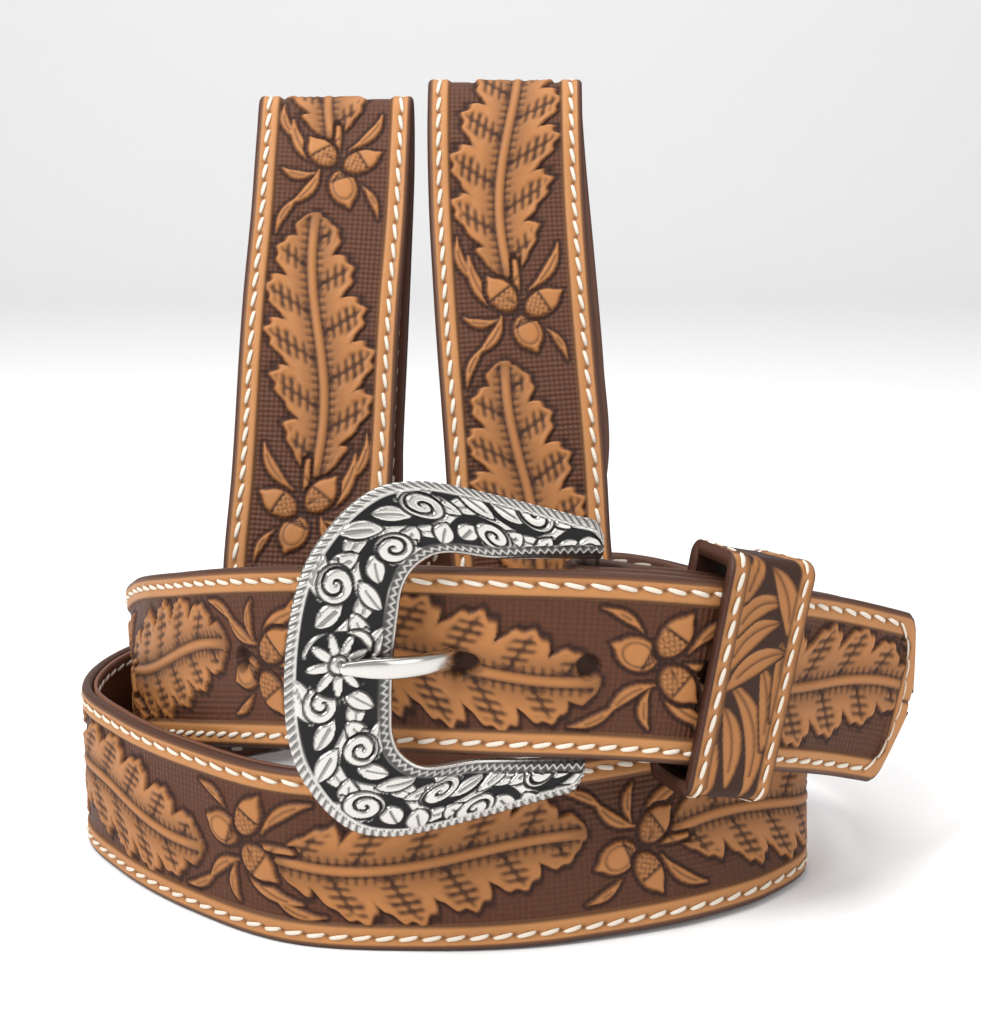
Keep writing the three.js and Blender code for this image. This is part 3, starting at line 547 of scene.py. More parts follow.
def stitch_line(inset):
    """The stitch line on one side as distances along the strap and half widths."""
    full = HALF_WIDTH - inset
    knots = [(inset + 0.8, 0.0), (inset + 2.2, 0.5 * full), (inset + 4.9, 0.84 * full),
             (inset + 8.4, full), (FOLD_START - STITCH_STOP, full)]
    along, width = np.array(knots).T
    run = np.concatenate([[0], np.cumsum(np.hypot(np.diff(along), np.diff(width)))])
    return along, width, run


def stitch_marks(along, width, settings):
    """The trench that the stitches lie in, and the pricks between them."""
    line_along, line_width, run = stitch_line(settings.stitch_inset)
    off_line = np.abs(width) - np.interp(along, line_along, line_width)
    stitched = along < FOLD_START - STITCH_STOP
    trench = ridge(off_line, TRENCH_WIDTH) * stitched * (along > settings.stitch_inset)
    beat = np.interp(along, line_along, run) / settings.stitch_pitch
    off_prick = (beat - np.round(beat)) * settings.stitch_pitch
    return trench, ridge(off_line, 0.5) * ridge(off_prick, 0.55) * stitched


def tooling(tile, along, width, settings):
    """Height, dark, raised and field masks of the outer leather at places on the strap."""
    places, numbers = np.array(CLUSTER_PLACES, float).T
    phase = np.interp(along, places, numbers)
    cell = np.floor(phase)
    mirror = np.where(cell % 2 == 0, 1.0, -1.0)
    x, y = (phase - cell) * REPEAT, np.clip(width * mirror, -FIELD_HALF, FIELD_HALF)
    edge = np.minimum(half_width_at(along) - np.abs(width), along * 0.95)
    stop = FOLD_START - FIELD_STOP
    field = ramp(BORDER_WIDTH - 0.05, BORDER_WIDTH + 0.5, edge) * ramp(stop, stop - 3, along)
    cut = ridge(edge - BORDER_WIDTH, CUT_WIDTH) * ramp(stop + 1, stop - 3, along)
    trench, pricks = stitch_marks(along, width, settings)
    height = settings.relief * tile.sample(tile.height, x, y) * field
    height -= CUT_DEPTH * cut + TRENCH_DEPTH * trench + PRICK_DEPTH * pricks
    dark = np.maximum(tile.sample(tile.dark, x, y) * field, cut)
    # Painted shade: the stitch pricks between stitches are darkened to read as holes.
    dark = np.maximum(dark, 0.8 * pricks)
    # Painted shade: each belt hole is a shallow pit that does not go through, coloured fully dark, with a
    # dark band round its lip.
    hole = np.zeros(along.shape)
    for number in range(-2, 3):
        reach = HOLE_RADIUS if number else USED_HOLE_REACH
        away = np.hypot((along - USED_HOLE - number * HOLE_SPACING) * HOLE_RADIUS / reach, width)
        hole = np.maximum(hole, ramp(HOLE_RADIUS + HOLE_SOFTNESS, HOLE_RADIUS - HOLE_SOFTNESS, away))
        dark = np.maximum(dark, 0.6 * ridge(away - HOLE_RADIUS - 0.3, 0.5))
    height = height * (1 - hole) - HOLE_DEPTH * hole
    return height, np.maximum(dark, hole), tile.sample(tile.raised, x, y), field


def skin(name, rings, masks, closed_ends=True):
    """A body from rows of rings. masks holds named values for every point."""
    rows, size = rings.shape[:2]
    index = np.arange(rows * size).reshape(rows, size)
    turned = np.roll(index, -1, axis=1)
    quads = np.stack([index[:-1], turned[:-1], turned[1:], index[1:]], axis=-1)
    faces = quads.reshape(-1, 4).tolist()
    if closed_ends:
        faces += [index[0, ::-1].tolist(), index[-1].tolist()]
    return mesh_piece(name, to_frame(rings), faces, masks)


def mesh_piece(name, points, faces, masks=None):
    """A piece of the belt, smooth but for its end caps, with named values for its points."""
    mesh = bpy.data.meshes.new(name)
    mesh.from_pydata(points.tolist(), [], faces)
    for key, values in (masks or {}).items():
        layer = mesh.attributes.new(key, "FLOAT", "POINT")
        layer.data.foreach_set("value", np.asarray(values, np.float32).ravel())
    mesh.shade_smooth()
    for face in mesh.polygons:
        face.use_smooth = face.loop_total <= 4
    piece = bpy.data.objects.new(name, mesh)
    bpy.context.scene.collection.objects.link(piece)
    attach(piece, "root")
    return piece


class Field:
    """A shader socket with arithmetic, so masks read as expressions."""

    def __init__(self, tree, socket):
        self.tree = tree
        self.socket = socket

    def _math(self, operation, other, swap=False):
        left, right = (other, self) if swap else (self, other)
        node = self.tree.add("ShaderNodeMath", {"operation": operation}, {0: left, 1: right})
        return Field(self.tree, node.outputs[0])

    def __add__(self, other):
        return self._math("ADD", other)

    __radd__ = __add__

    def __sub__(self, other):
        return self._math("SUBTRACT", other)

    def __rsub__(self, other):
        return self._math("SUBTRACT", other, swap=True)

    def __mul__(self, other):
        return self._math("MULTIPLY", other)

    __rmul__ = __mul__

    def sine(self):
        node = self.tree.add("ShaderNodeMath", {"operation": "SINE"}, {0: self})
        return Field(self.tree, node.outputs[0])


class Finish:
    """A material's node tree, built a node at a time."""

    def __init__(self, name):
        self.material = bpy.data.materials.new("belt_" + name)
        self.material.use_nodes = True
        self.nodes = self.material.node_tree.nodes
        self.links = self.material.node_tree.links
        self.shader = self.nodes["Principled BSDF"]

    def add(self, kind, settings=None, inputs=None):
        node = self.nodes.new(kind)
        for key, value in (settings or {}).items():
            setattr(node, key, value)
        for key, value in (inputs or {}).items():
            self.feed(node.inputs[key], value)
        return node

    def feed(self, socket, value):
        if isinstance(value, Field):
            self.links.new(value.socket, socket)
        elif isinstance(value, bpy.types.NodeSocket):
            self.links.new(value, socket)
        else:
            socket.default_value = value

    def mask(self, name):
        node = self.add("ShaderNodeAttribute", {"attribute_name": name})
        return Field(self, node.outputs["Fac"])

    def noise(self, scale, detail=3.0, roughness=0.5):
        place = self.add("ShaderNodeTexCoord")
        node = self.add("ShaderNodeTexNoise", {}, {
            "Vector": place.outputs["Object"], "Scale": scale, "Detail": detail, "Roughness": roughness})
        return Field(self, node.outputs["Fac"])

    def mix(self, factor, first, second):
        node = self.add("ShaderNodeMix", {"data_type": "RGBA"}, {0: factor, 6: first, 7: second})
        return node.outputs[2]

    def finish(self, color, roughness, bump=None, metallic=0.0, **constants):
        self.feed(self.shader.inputs["Base Color"], color)
        self.feed(self.shader.inputs["Roughness"], roughness)
        self.shader.inputs["Metallic"].default_value = metallic
        for key, value in constants.items():
            self.shader.inputs[key.replace("_", " ")].default_value = value
        if bump is not None:
            height, distance = bump
            node = self.add("ShaderNodeBump", {}, {"Height": height, "Distance": distance, "Strength": 0.6})
            self.links.new(node.outputs["Normal"], self.shader.inputs["Normal"])
        return self.material


# Turns of the stamped hatch for each millimetre, in radians
STAMP_RATE = 2.6


def rgba(color):
    return (*color, 1.0)


def tooled_finish(look):
    """Tan motifs on a stamped ground, with dark antiquing in the cuts and burnished edges."""
    f = Finish("tooled_leather")
    dark, raised, border, rim = (f.mask(key) for key in ("dark", "raised", "border", "rim"))
    along, width = f.mask("along"), f.mask("width")
    stamp = ((along + width) * STAMP_RATE).sine() * ((along - width) * STAMP_RATE).sine()
    ground = (1 - raised) * (1 - border)
    cloud = f.noise(55, 4)
    grain = f.noise(900, 4, 0.6)
    fine = f.noise(2600, 2)
    motif = f.mix(cloud, rgba(look.raised), rgba([v * 0.72 for v in look.raised]))
    field = f.mix(raised, rgba(look.ground), motif)
    field = f.mix(ground * (0.3 + 0.55 * stamp) * 0.7, field, rgba(look.antique_and_shade))
    edge_tan = f.mix(cloud * 0.8, rgba(look.border), rgba([v * 0.74 for v in look.border]))
    face = f.mix(border, field, edge_tan)
    face = f.mix(grain * 0.22, face, rgba([v * 0.55 for v in look.border]))
    # The dark mask mixes in the antiquing colour: paste in the cuts, plus painted shade in the belt holes
    # and the stitch pricks.
    face = f.mix(dark * 0.97, face, rgba(look.antique_and_shade))
    face = f.mix(rim, face, rgba(look.edge))
    roughness = 0.42 + 0.2 * grain + 0.2 * dark
    relief = grain * 0.35 + fine * 0.2 - ground * stamp * 0.9
    return f.finish(face, roughness, (relief, 0.00022), Specular_IOR_Level=0.3)


def lining_finish(look):
    """Smooth reddish brown leather."""
    f = Finish("lining_leather")
    cloud = f.noise(40, 3)
    grain = f.noise(1100, 4, 0.6)
    dark = f.mask("dark")
    face = f.mix(cloud, rgba(look.lining), rgba([v * 0.66 for v in look.lining]))
    # The dark mask here is painted shade along the lining's stitch groove.
    face = f.mix(dark, face, rgba(look.antique_and_shade))
    return f.finish(face, 0.45 + 0.2 * grain, (grain, 0.0001))


def thread_finish(look):
    """Waxed white thread with a twist."""
    f = Finish("thread")
    cloud = f.noise(160, 2)
    strand = f.noise(2200, 3)
    face = f.mix(cloud * 0.5, rgba(look.thread), rgba([v * 0.72 for v in look.thread]))
    return f.finish(face, 0.6 + 0.2 * strand, (strand, 0.0002))


def cast_finish(look):
    """Silver that is worn bright on what stands out and black in the recesses."""
    f = Finish("antique_silver")
    recess = f.mask("recess")
    wear = f.noise(420, 3)
    face = f.mix(wear * 0.3, rgba(look.silver), rgba([v * 0.7 for v in look.silver]))
    face = f.mix(recess, face, rgba(look.black))
    return f.finish(face, 0.2 + 0.12 * wear + 0.3 * recess, (wear, 0.00004), metallic=1.0)


def polished_finish(name, color, low):
    """Polished metal with faint wear."""
    f = Finish(name)
    wear = f.noise(500, 4, 0.6)
    scratch = f.noise(90, 2)
    face = f.mix(scratch * 0.35, rgba(color), rgba([v * 0.8 for v in color]))
    return f.finish(face, low + 0.14 * wear, (wear, 0.00003), metallic=1.0)


def shared(name, make, *values):
    """A finish that several pieces share, made when it is first asked for."""
    return bpy.data.materials.get("belt_" + name) or make(*values)


def strap_rings(tile, along, settings):
    """Rings of the outer leather's section, tooled in front, and the masks on them."""
    half = half_width_at(along)[:, None]
    round_off = np.minimum(EDGE_ROUND, half / 3)
    share = np.linspace(-1, 1, int(STRAP_WIDTH / settings.grid_across))[None, :]
    width = share * (half - round_off)
    spread = along[:, None] + 0 * width
    height, dark, raised, field = tooling(tile, spread, width, settings)
    front = ROUTE.point(spread, width, OUTER_FACE + height - ramp(1.2, 0.0, spread) ** 2)
    arcs = {}
    for side in (1, -1):
        arc_width = side * (half - round_off + round_off * np.sin(EDGE_ANGLES))
        arc_depth = (OUTER_FACE + LEATHER_BACK + LEATHER * np.cos(EDGE_ANGLES)) / 2
        arcs[side] = ROUTE.point(along[:, None] + 0 * arc_width, arc_width, arc_depth)
    flat = (half - round_off) * np.array([[1.0, 0.0, -1.0]])
    back = ROUTE.point(along[:, None] + 0 * flat, flat, LEATHER_BACK)
    rings = np.concatenate([front, arcs[1], back, arcs[-1][:, ::-1]], axis=1)
    plain = np.zeros((len(along), rings.shape[1] - front.shape[1]))
    rim = np.maximum(ramp(0.985, 1.0, np.abs(share) + 0 * width), ramp(1.0, 0.2, spread))
    masks = {
        "dark": np.hstack([dark, plain]),
        "raised": np.hstack([raised, plain]),
        "border": np.hstack([1 - field, plain + 1]),
        "rim": np.hstack([0.8 * rim, plain + 1]),
        "along": np.hstack([spread, plain]),
        "width": np.hstack([width, plain]),
    }
    return rings, masks


def strap_stitches(settings, side, face):
    """All stitches of one side as small slanted beads of thread."""
    line_along, line_width, run = stitch_line(settings.stitch_inset)
    count = int(run[-1] / settings.stitch_pitch)
    middle = (np.arange(count) + 0.5) * settings.stitch_pitch
    share, radius = STITCH_SHARES[:, None], STITCH_RADII[:, None]
    spot = middle[:, None, None] + share * STITCH_LENGTH + 0 * STITCH_TURN
    along = np.interp(spot, run, line_along)
    width = np.interp(spot, run, line_width) + STITCH_SLANT * share + radius * np.cos(STITCH_TURN)
    depth = face * (OUTER_FACE + STITCH_LIFT[:, None]) + 0.5 * radius * np.sin(STITCH_TURN)
    return ROUTE.point(along, side * width, depth)


def beads(name, groups):
    """Joins many small closed beads, each a stack of rings, into one piece."""
    points, faces, start = [], [], 0
    for group in groups:
        count, rows, size = group.shape[:3]
        index = np.arange(count * rows * size).reshape(count, rows, size) + start
        turned = np.roll(index, -1, axis=2)
        quads = np.stack([index[:, :-1], turned[:, :-1], turned[:, 1:], index[:, 1:]], axis=-1)
        faces += quads.reshape(-1, 4).tolist()
        faces += index[:, 0, ::-1].tolist() + index[:, -1].tolist()
        points.append(group.reshape(-1, 3))
        start += count * rows * size
    return mesh_piece(name, to_frame(np.concatenate(points)), faces)


def dress(piece, material):
    """Gives a piece its material."""
    piece.data.materials.append(material)


def outward(piece):
    """Turns a closed piece's faces outward when its volume comes out negative."""
    mesh = piece.data
    count = len(mesh.vertices)
    co = np.empty(count * 3)
    mesh.vertices.foreach_get("co", co)
    co = co.reshape(-1, 3)
    mesh.calc_loop_triangles()
    tris = np.empty(len(mesh.loop_triangles) * 3, int)
    mesh.loop_triangles.foreach_get("vertices", tris)
    tris = tris.reshape(-1, 3)
    a, b, c = co[tris[:, 0]], co[tris[:, 1]], co[tris[:, 2]]
    if np.sum(a * np.cross(b, c)) < 0:
        mesh.flip_normals()
    return piece


class BELT_OT_strap(bpy.types.Operator):
    """Make the tooled outer leather in five joined stretches"""
    bl_idname = "belt.strap"
    bl_label = "Tooled strap"

    def execute(self, context):
        settings = context.scene.belt_strap
        tile = Tile()
        material = shared("tooled_leather", tooled_finish, context.scene.belt_leather)
        rows = self.rows(settings)
        ends = (0, *HIDDEN_JOINS, ROUTE.length)
        for number, (low, high) in enumerate(zip(ends[:-1], ends[1:])):
            inner = rows[(rows > low + ROW_MARGIN) & (rows < high - ROW_MARGIN)]
            if number == 0:
                inner = np.concatenate([TIP_ROWS, inner[inner > TIP_ROWS[-1] + 0.2]])
            rings, masks = strap_rings(tile, np.concatenate([[low], inner, [high]]), settings)
            piece = outward(skin(f"strap_stretch_{number + 1}", rings, masks))
            dress(piece, material)
            if number == 0:
                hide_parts("strap")
        return {"FINISHED"}

    def rows(self, settings):
        """Places of the rings along the strap, close together where it shows in front."""
        slow = 1.0
        rate = np.full(int(ROUTE.length) + 1, 1 / (settings.hidden_along * slow))
        for low, high in SHOWN_STRETCHES:
            rate[low:high] = 1 / (settings.grid_along * slow)
        reach = np.concatenate([[0], np.cumsum(rate)])
        return np.interp(np.arange(0, reach[-1]), reach, np.arange(len(reach)))


class BELT_OT_lining(bpy.types.Operator):
    """Make the smooth inner leather"""
    bl_idname = "belt.lining"
    bl_label = "Lining"

    def execute(self, context):
        settings = context.scene.belt_strap
        along = np.arange(LINING_START, FOLD_START - LINING_STOP, LINING_STEP)[:, None]
        half = half_width_at(along) - LINING_INSET
        share = np.linspace(-1, 1, 27)[None, :]
        width = share * half
        spread = along + 0 * width
        off_line = np.abs(width) - np.interp(spread, *stitch_line(settings.stitch_inset)[:2])
        trench = ridge(off_line, 0.9)
        sunk = 0.12 * (1 - ramp(1.0, 0.86, np.abs(share))) + 0.14 * trench
        inner = ROUTE.point(spread, width, -OUTER_FACE + sunk)
        flat = half * np.array([[1.0, -1.0]])
        outer = ROUTE.point(along + 0 * flat, flat, LINING_FRONT)
        rings = np.concatenate([inner, outer], axis=1)
        # Painted shade: the lining is darkened along its stitch groove.
        masks = {"dark": np.hstack([0.35 * trench, 0 * flat])}
        piece = outward(skin("lining_leather", rings, masks))
        material = shared("lining_leather", lining_finish, context.scene.belt_leather)
        dress(piece, material)
        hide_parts("lining")
        return {"FINISHED"}


class BELT_OT_stitches(bpy.types.Operator):
    """Make the white stitches along both edges, outside and inside"""
    bl_idname = "belt.stitches"
    bl_label = "Stitches"

    def execute(self, context):
        settings = context.scene.belt_strap
        material = shared("thread", thread_finish, context.scene.belt_leather)
        for name, face in (("stitches_outside", 1), ("stitches_inside", -1)):
            groups = [strap_stitches(settings, side, face) for side in (1, -1)]
            piece = outward(beads(name, groups))
            dress(piece, material)
        return {"FINISHED"}


# The keeper's place along the strap, its section and its clearances
KEEPER_MIDDLE = 56.0
KEEPER_WIDTH = 20.0
KEEPER_WALL = 2.6
KEEPER_CORNER = 3.0
KEEPER_INNER_CORNER = 0.6
KEEPER_PLAY = 3.2
KEEPER_SLACK = 0.6
KEEPER_POINTS = 360
# Its border, carving, crown and stitches
KEEPER_BORDER = 3.3
KEEPER_CARVING = 0.42
KEEPER_CROWN = 0.5
KEEPER_ROUND = 0.8
KEEPER_STITCH_INSET = 1.9
KEEPER_STITCH_LENGTH = 3.7
KEEPER_STITCH_PITCH = 4.7
KEEPER_STITCH_SLANT = 0.5
KEEPER_STITCH_SPREAD = 1.012


def keeper_outline(extra, corner):
    """The keeper's rounded rectangle as evenly spaced places across and in depth."""
    high = HALF_WIDTH + KEEPER_PLAY + extra
    front = OUTER_FACE + FIT_GAP + extra
    back = -STACK_OFFSET - FLAP_DEPTH - OUTER_FACE - KEEPER_SLACK - extra
    spots = []
    for width, depth, turn in ((high, front, 0), (-high, front, 1), (-high, back, 2), (high, back, 3)):
        middle = (width - math.copysign(corner, width), depth + (corner if turn > 1 else -corner))
        for angle in np.linspace(turn, turn + 1, 9) * math.pi / 2:
            spots.append((middle[0] + corner * math.cos(angle), middle[1] + corner * math.sin(angle)))
    spots = np.array(spots + spots[:1])
    run = np.concatenate([[0], np.cumsum(np.hypot(*np.diff(spots, axis=0).T))])
    even = np.linspace(0, run[-1], KEEPER_POINTS, endpoint=False)
    return np.stack([np.interp(even, run, spots[:, k]) for k in (0, 1)], axis=1)


# Carved leaves of the keeper: start, bend and end as places along its height and across
# it, and the fullest width
KEEPER_LEAVES = (
    ((-24, -3), (-10, -7), (-1, 5.5), 1.7), ((-22, 2), (-12, 1), (-6, 6), 1.5),
    ((-14, -5.5), (-4, -6), (3, -1), 1.5), ((-8, -6.5), (2, -7), (8, -5), 1.1),
    ((-2, 6), (5, 2), (6, -6), 1.6), ((2, 6.5), (10, 6), (12, -3), 1.7),
    ((9, 6.5), (17, 5), (16, -3), 1.5), ((10, -6), (17, -6.5), (23, 1), 1.7),
    ((16, 6), (22, 5), (25, 4), 1.2), ((-25, 6), (-18, 7), (-13, 6.5), 1.1),
)


def keeper_carving(width, across):
    """The dark ground cut away round flowing scroll leaves on the keeper's face."""
    raised = np.zeros(width.shape)
    for start, bend, end, full in KEEPER_LEAVES:
        away, share = stroke_distance(width, across, (start, bend, end))
        body = 0.4 + 1.25 * full * np.sin(np.pi * np.clip(share, 0, 1)) ** 0.8
        leaf = ramp(-0.05, 0.4, body - away) * (1 - 0.8 * ridge(away, 0.3) * (share > 0.15))
        clear = ramp(0.65, 0.3, away - body)
        raised = np.maximum(raised * (1 - clear), leaf)
    return 1 - raised


class BELT_OT_keeper(bpy.types.Operator):
    """Make the carved keeper with its two rows of stitches"""
    bl_idname = "belt.keeper"
    bl_label = "Keeper"

    def execute(self, context):
        look = context.scene.belt_leather
        outer = keeper_outline(KEEPER_WALL, KEEPER_CORNER)
        inner = keeper_outline(0, KEEPER_INNER_CORNER)
        share = np.concatenate([[-0.995], np.linspace(-0.97, 0.97, 44), [0.995]])
        across = share[:, None] * KEEPER_WIDTH / 2 + 0 * outer[None, :, 0]
        width, depth = outer[None, :, 0] + 0 * across, outer[None, :, 1] + 0 * across
        edge = KEEPER_WIDTH / 2 - np.abs(across)
        field = ramp(KEEPER_BORDER, KEEPER_BORDER + 0.5, edge)
        dark = keeper_carving(width, across) * field
        seam = ridge(edge - KEEPER_BORDER, 0.3)
        trench = ridge(edge - KEEPER_STITCH_INSET, 0.6)
        drop = KEEPER_CARVING * dark + 0.3 * seam + 0.15 * trench + 0.55 * ramp(KEEPER_ROUND, 0.0, edge)
        crown = KEEPER_CROWN * np.sqrt(np.clip(1 - (across / (KEEPER_WIDTH / 2)) ** 2, 0, 1))
        pull = unit(np.stack([np.gradient(outer[:, 1]), -np.gradient(outer[:, 0])], axis=1))
        move = (crown - drop)[..., None] * pull[None]
        face = TIP_ROUTE.point(KEEPER_MIDDLE + across, width - move[..., 0], depth - move[..., 1])
        lined = TIP_ROUTE.point(KEEPER_MIDDLE + across[::-1], inner[None, :, 0], inner[None, :, 1])
        rings = np.concatenate([face, lined, face[:1]], axis=0)
        plain = 0 * across
        rim = ramp(0.5, 0.1, edge)
        masks = {
            "dark": np.vstack([np.maximum(dark, seam), plain, dark[:1]]),
            "raised": np.vstack([plain + 1, plain, field[:1]]),
            "border": np.vstack([1 - field, plain + 1, 1 - field[:1]]),
            "rim": np.vstack([rim, plain + 1, rim[:1]]),
        }
        piece = outward(skin("carved_keeper", rings, masks, closed_ends=False))
        dress(piece, shared("tooled_leather", tooled_finish, look))
        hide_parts("keeper")
        self.stitch(outer, shared("thread", thread_finish, look))
        return {"FINISHED"}

    def stitch(self, outer, material):
        """Lays the two rows of stitches round the keeper."""
        loop = np.vstack([outer, outer[:1]])
        run = np.concatenate([[0], np.cumsum(np.hypot(*np.diff(loop, axis=0).T))])
        count = int(run[-1] / KEEPER_STITCH_PITCH)
        middle = (np.arange(count) + 0.5) * run[-1] / count
        share, radius = STITCH_SHARES[:, None], STITCH_RADII[:, None]
        spot = (middle[:, None, None] + share * KEEPER_STITCH_LENGTH + 0 * STITCH_TURN) % run[-1]
        width, depth = np.interp(spot, run, loop[:, 0]), np.interp(spot, run, loop[:, 1])
        centre = -(STACK_OFFSET + FLAP_DEPTH) / 2
        away = unit(np.stack([width * 0.35, depth - centre], axis=-1))
        away *= (0.45 * radius * np.sin(STITCH_TURN) + 0.2)[..., None]
        slant = KEEPER_STITCH_SLANT * share + radius * np.cos(STITCH_TURN)
        groups = []
        for side in (-1, 1):
            place = KEEPER_MIDDLE + side * (KEEPER_WIDTH / 2 - KEEPER_STITCH_INSET) + slant
            groups.append(TIP_ROUTE.point(place + 0 * spot, width * KEEPER_STITCH_SPREAD + away[..., 0],
                                          depth + away[..., 1]))
        dress(outward(beads("keeper_stitches", groups)), material)


# Upper half of the buckle's outline from the hinge end to the far left: shares of the
# buckle's length from the hinge bar, and of half its height
BUCKLE_OUTLINE = (
    (0.023, 0.71), (0, 0.777), (-0.074, 0.814), (-0.216, 0.873), (-0.38, 0.938), (-0.502, 0.98),
    (-0.625, 1), (-0.744, 0.958), (-0.825, 0.859), (-0.898, 0.71), (-0.949, 0.563),
    (-0.98, 0.386), (-0.998, 0.141),
)
OPENING_CORNER = ((0.0, 1), (0.5, 1), (0.88, 1), (0.95, 0.88), (0.99, 0.7), (1, 0.5))
OPENING_PLAY = 1.3
BUCKLE_THICKNESS = 4.0
BUCKLE_STANDOFF = 0.5
BUCKLE_SWELL = 1.3
# Rows of the buckle's face from its opening to its rim, and the bands on it: the roped
# rim, the zigzag round the opening, and the field of scrolls between them
BUCKLE_ROWS = 64
ROPE_PITCH = 1.75
ROPE_LEAN = 2.2
ROPE_BAND = 1.9
ZIGZAG_PITCH = 1.9
ZIGZAG_MIDDLE = 1.7
ZIGZAG_SWING = 0.55
ZIGZAG_BAND = 3.0
BAND_DIFFERENCE = 0.9
SCROLL_RELIEF = 0.75
# The vine, and on each side of it in turn a curl and its leaves
VINE_PITCH = 22.0
VINE_SWING = 2.9
CURL_PITCH = 11.0
CURL_START = 3.0
CURL_COUNT = 16
CURL_PLACE = 3.2
CURL_REACH = 3.6
CURL_TURN = 0.37
COIL_PITCH = 2.3
# Leaves beside a curl: place along and across, turn, length, half width
CURL_LEAVES = (
    (-4.2, 4.6, 0.1, 8.0, 2.2), (3.0, 5.4, 2.75, 8.5, 2.1), (-1.5, -4.3, 0.2, 8.0, 2.0),
    (-2.0, -1.2, -0.9, 7.5, 1.9), (4.4, -1.4, -0.6, 7.5, 2.0), (3.2, 1.0, 0.7, 6.5, 1.9),
)
FLOWER_RADIUS = 6.4
FLOWER_PETALS = 9


def smooth_line(points, count):
    """Evenly spaced places on a smooth line through points, and the run to each."""
    rows = np.hstack([points, np.zeros((len(points), 3)), np.ones((len(points), 1))])
    route = Route(rows, 10)
    even = np.linspace(0, route.length, count)
    return np.stack([np.interp(even, route.distance, route.place[:, k]) for k in (0, 1)], axis=1), even


def lean_frame(lean):
    """The hinge bar's middle, and the leaning buckle's directions to the left, up and front."""
    place, tangent, across, out = TIP_ROUTE.at(HINGE_PLACE)
    left = tangent * math.cos(lean) + out * math.sin(lean)
    front = out * math.cos(lean) - tangent * math.sin(lean)
    return place - out * HINGE_DEPTH, left, across, front


def curl(x, y, hand, start):
    """A spiral round the origin."""
    away = np.hypot(x, y)
    angle = np.arctan2(y, x) * hand / TAU + start
    coil = np.abs((away / COIL_PITCH - angle) % 1 - 0.5) * COIL_PITCH
    return ramp(0.98, 0.72, coil) * ramp(CURL_REACH, CURL_REACH - 0.4, away)


def leaf_over(raised, x, y, turn, reach, full):
    """Lays one pointed leaf, with a dark line round it and a vein, over what is there."""
    u = x * math.cos(turn) + y * math.sin(turn)
    q = -x * math.sin(turn) + y * math.cos(turn)
    half = full * np.sin(np.pi * np.clip(u / reach, 0, 1)) ** 0.7
    body = np.minimum(half - np.abs(q), np.minimum(u, reach - u))
    leaf = ramp(0.0, 0.25, body) * (1 - 0.75 * ridge(q, 0.17) * (u > 0.25 * reach))
    return np.maximum(raised * ramp(-0.2, -0.5, body), leaf)


def flower_over(raised, x, y):
    """Lays the flower at the origin over what is there."""
    away = np.hypot(x, y)
    petals = np.cos(FLOWER_PETALS * np.arctan2(y, x))
    bloom = ramp(0, 0.4, FLOWER_RADIUS * (0.74 + 0.26 * petals) - away)
    bloom = bloom * (1 - ridge(away - 1.9, 0.28)) * (1 - 0.7 * ridge(petals + 1, 0.3) * (away > 2))
    return np.maximum(raised * ramp(FLOWER_RADIUS - 0.1, FLOWER_RADIUS + 0.5, away), bloom)


def scroll_relief(run, offset):
    """Raised vine, curls and leaves along the buckle's middle, with a flower halfway."""
    raised = ramp(1.25, 0.95, np.abs(offset - VINE_SWING * np.sin(TAU * run / VINE_PITCH)))
    for number in range(CURL_COUNT):
        along = run - CURL_START - number * CURL_PITCH
        side = 1 if number % 2 else -1
        for place, off, turn, reach, full in CURL_LEAVES:
            raised = leaf_over(raised, along - place, offset - side * off, side * turn, reach, full)
        across = offset - side * CURL_PLACE
        raised = raised * ramp(CURL_REACH + 0.1, CURL_REACH + 0.4, np.hypot(along, across))
        raised = np.maximum(raised, curl(along, across, side, number * CURL_TURN))
    return flower_over(raised, run - run[-1] / 2, offset)


def buckle_face(inner_line, outer_line, outer_run, share):
    """Lift and blackened recess of the buckle's face, from its opening to its rim."""
    wide = np.linalg.norm(outer_line - inner_line, axis=1)[:, None]
    from_inner, from_outer = share * wide, (1 - share) * wide
    middle = (inner_line + outer_line) / 2
    run = np.concatenate([[0], np.cumsum(np.linalg.norm(np.diff(middle, axis=0), axis=1))])[:, None]
    run = run + 0 * from_inner
    relief = scroll_relief(run, from_inner - (wide + BAND_DIFFERENCE) / 2)
    field = ramp(ZIGZAG_BAND - 0.3, ZIGZAG_BAND + 0.1, from_inner)
    field *= ramp(ROPE_BAND + 0.1, ROPE_BAND + 0.5, from_outer)
    rope = 0.5 + 0.5 * np.cos(TAU * (outer_run[:, None] / ROPE_PITCH + from_outer / ROPE_LEAN))
    rope_band = ramp(ROPE_BAND, ROPE_BAND - 0.4, from_outer)
    swing = ZIGZAG_SWING * (4 * np.abs((run / ZIGZAG_PITCH) % 1 - 0.5) - 1)
    zigzag = ridge(from_inner - ZIGZAG_MIDDLE - swing, 0.33)
    zigzag_band = ramp(0.5, 0.8, from_inner) * ramp(ZIGZAG_BAND, ZIGZAG_BAND - 0.3, from_inner)
    lift = BUCKLE_SWELL * np.sin(np.pi * share) ** 0.6 + (SCROLL_RELIEF * relief - 0.15) * field
    lift += 0.45 * rope * rope_band + 0.3 * zigzag * zigzag_band
    recess = np.clip(field * (1 - relief), 0, 1) * 0.97
    recess = np.maximum(recess, rope_band * (1 - rope) ** 2 * 0.8)
    recess = np.maximum(recess, zigzag_band * (1 - zigzag) * 0.85)
    return lift, recess


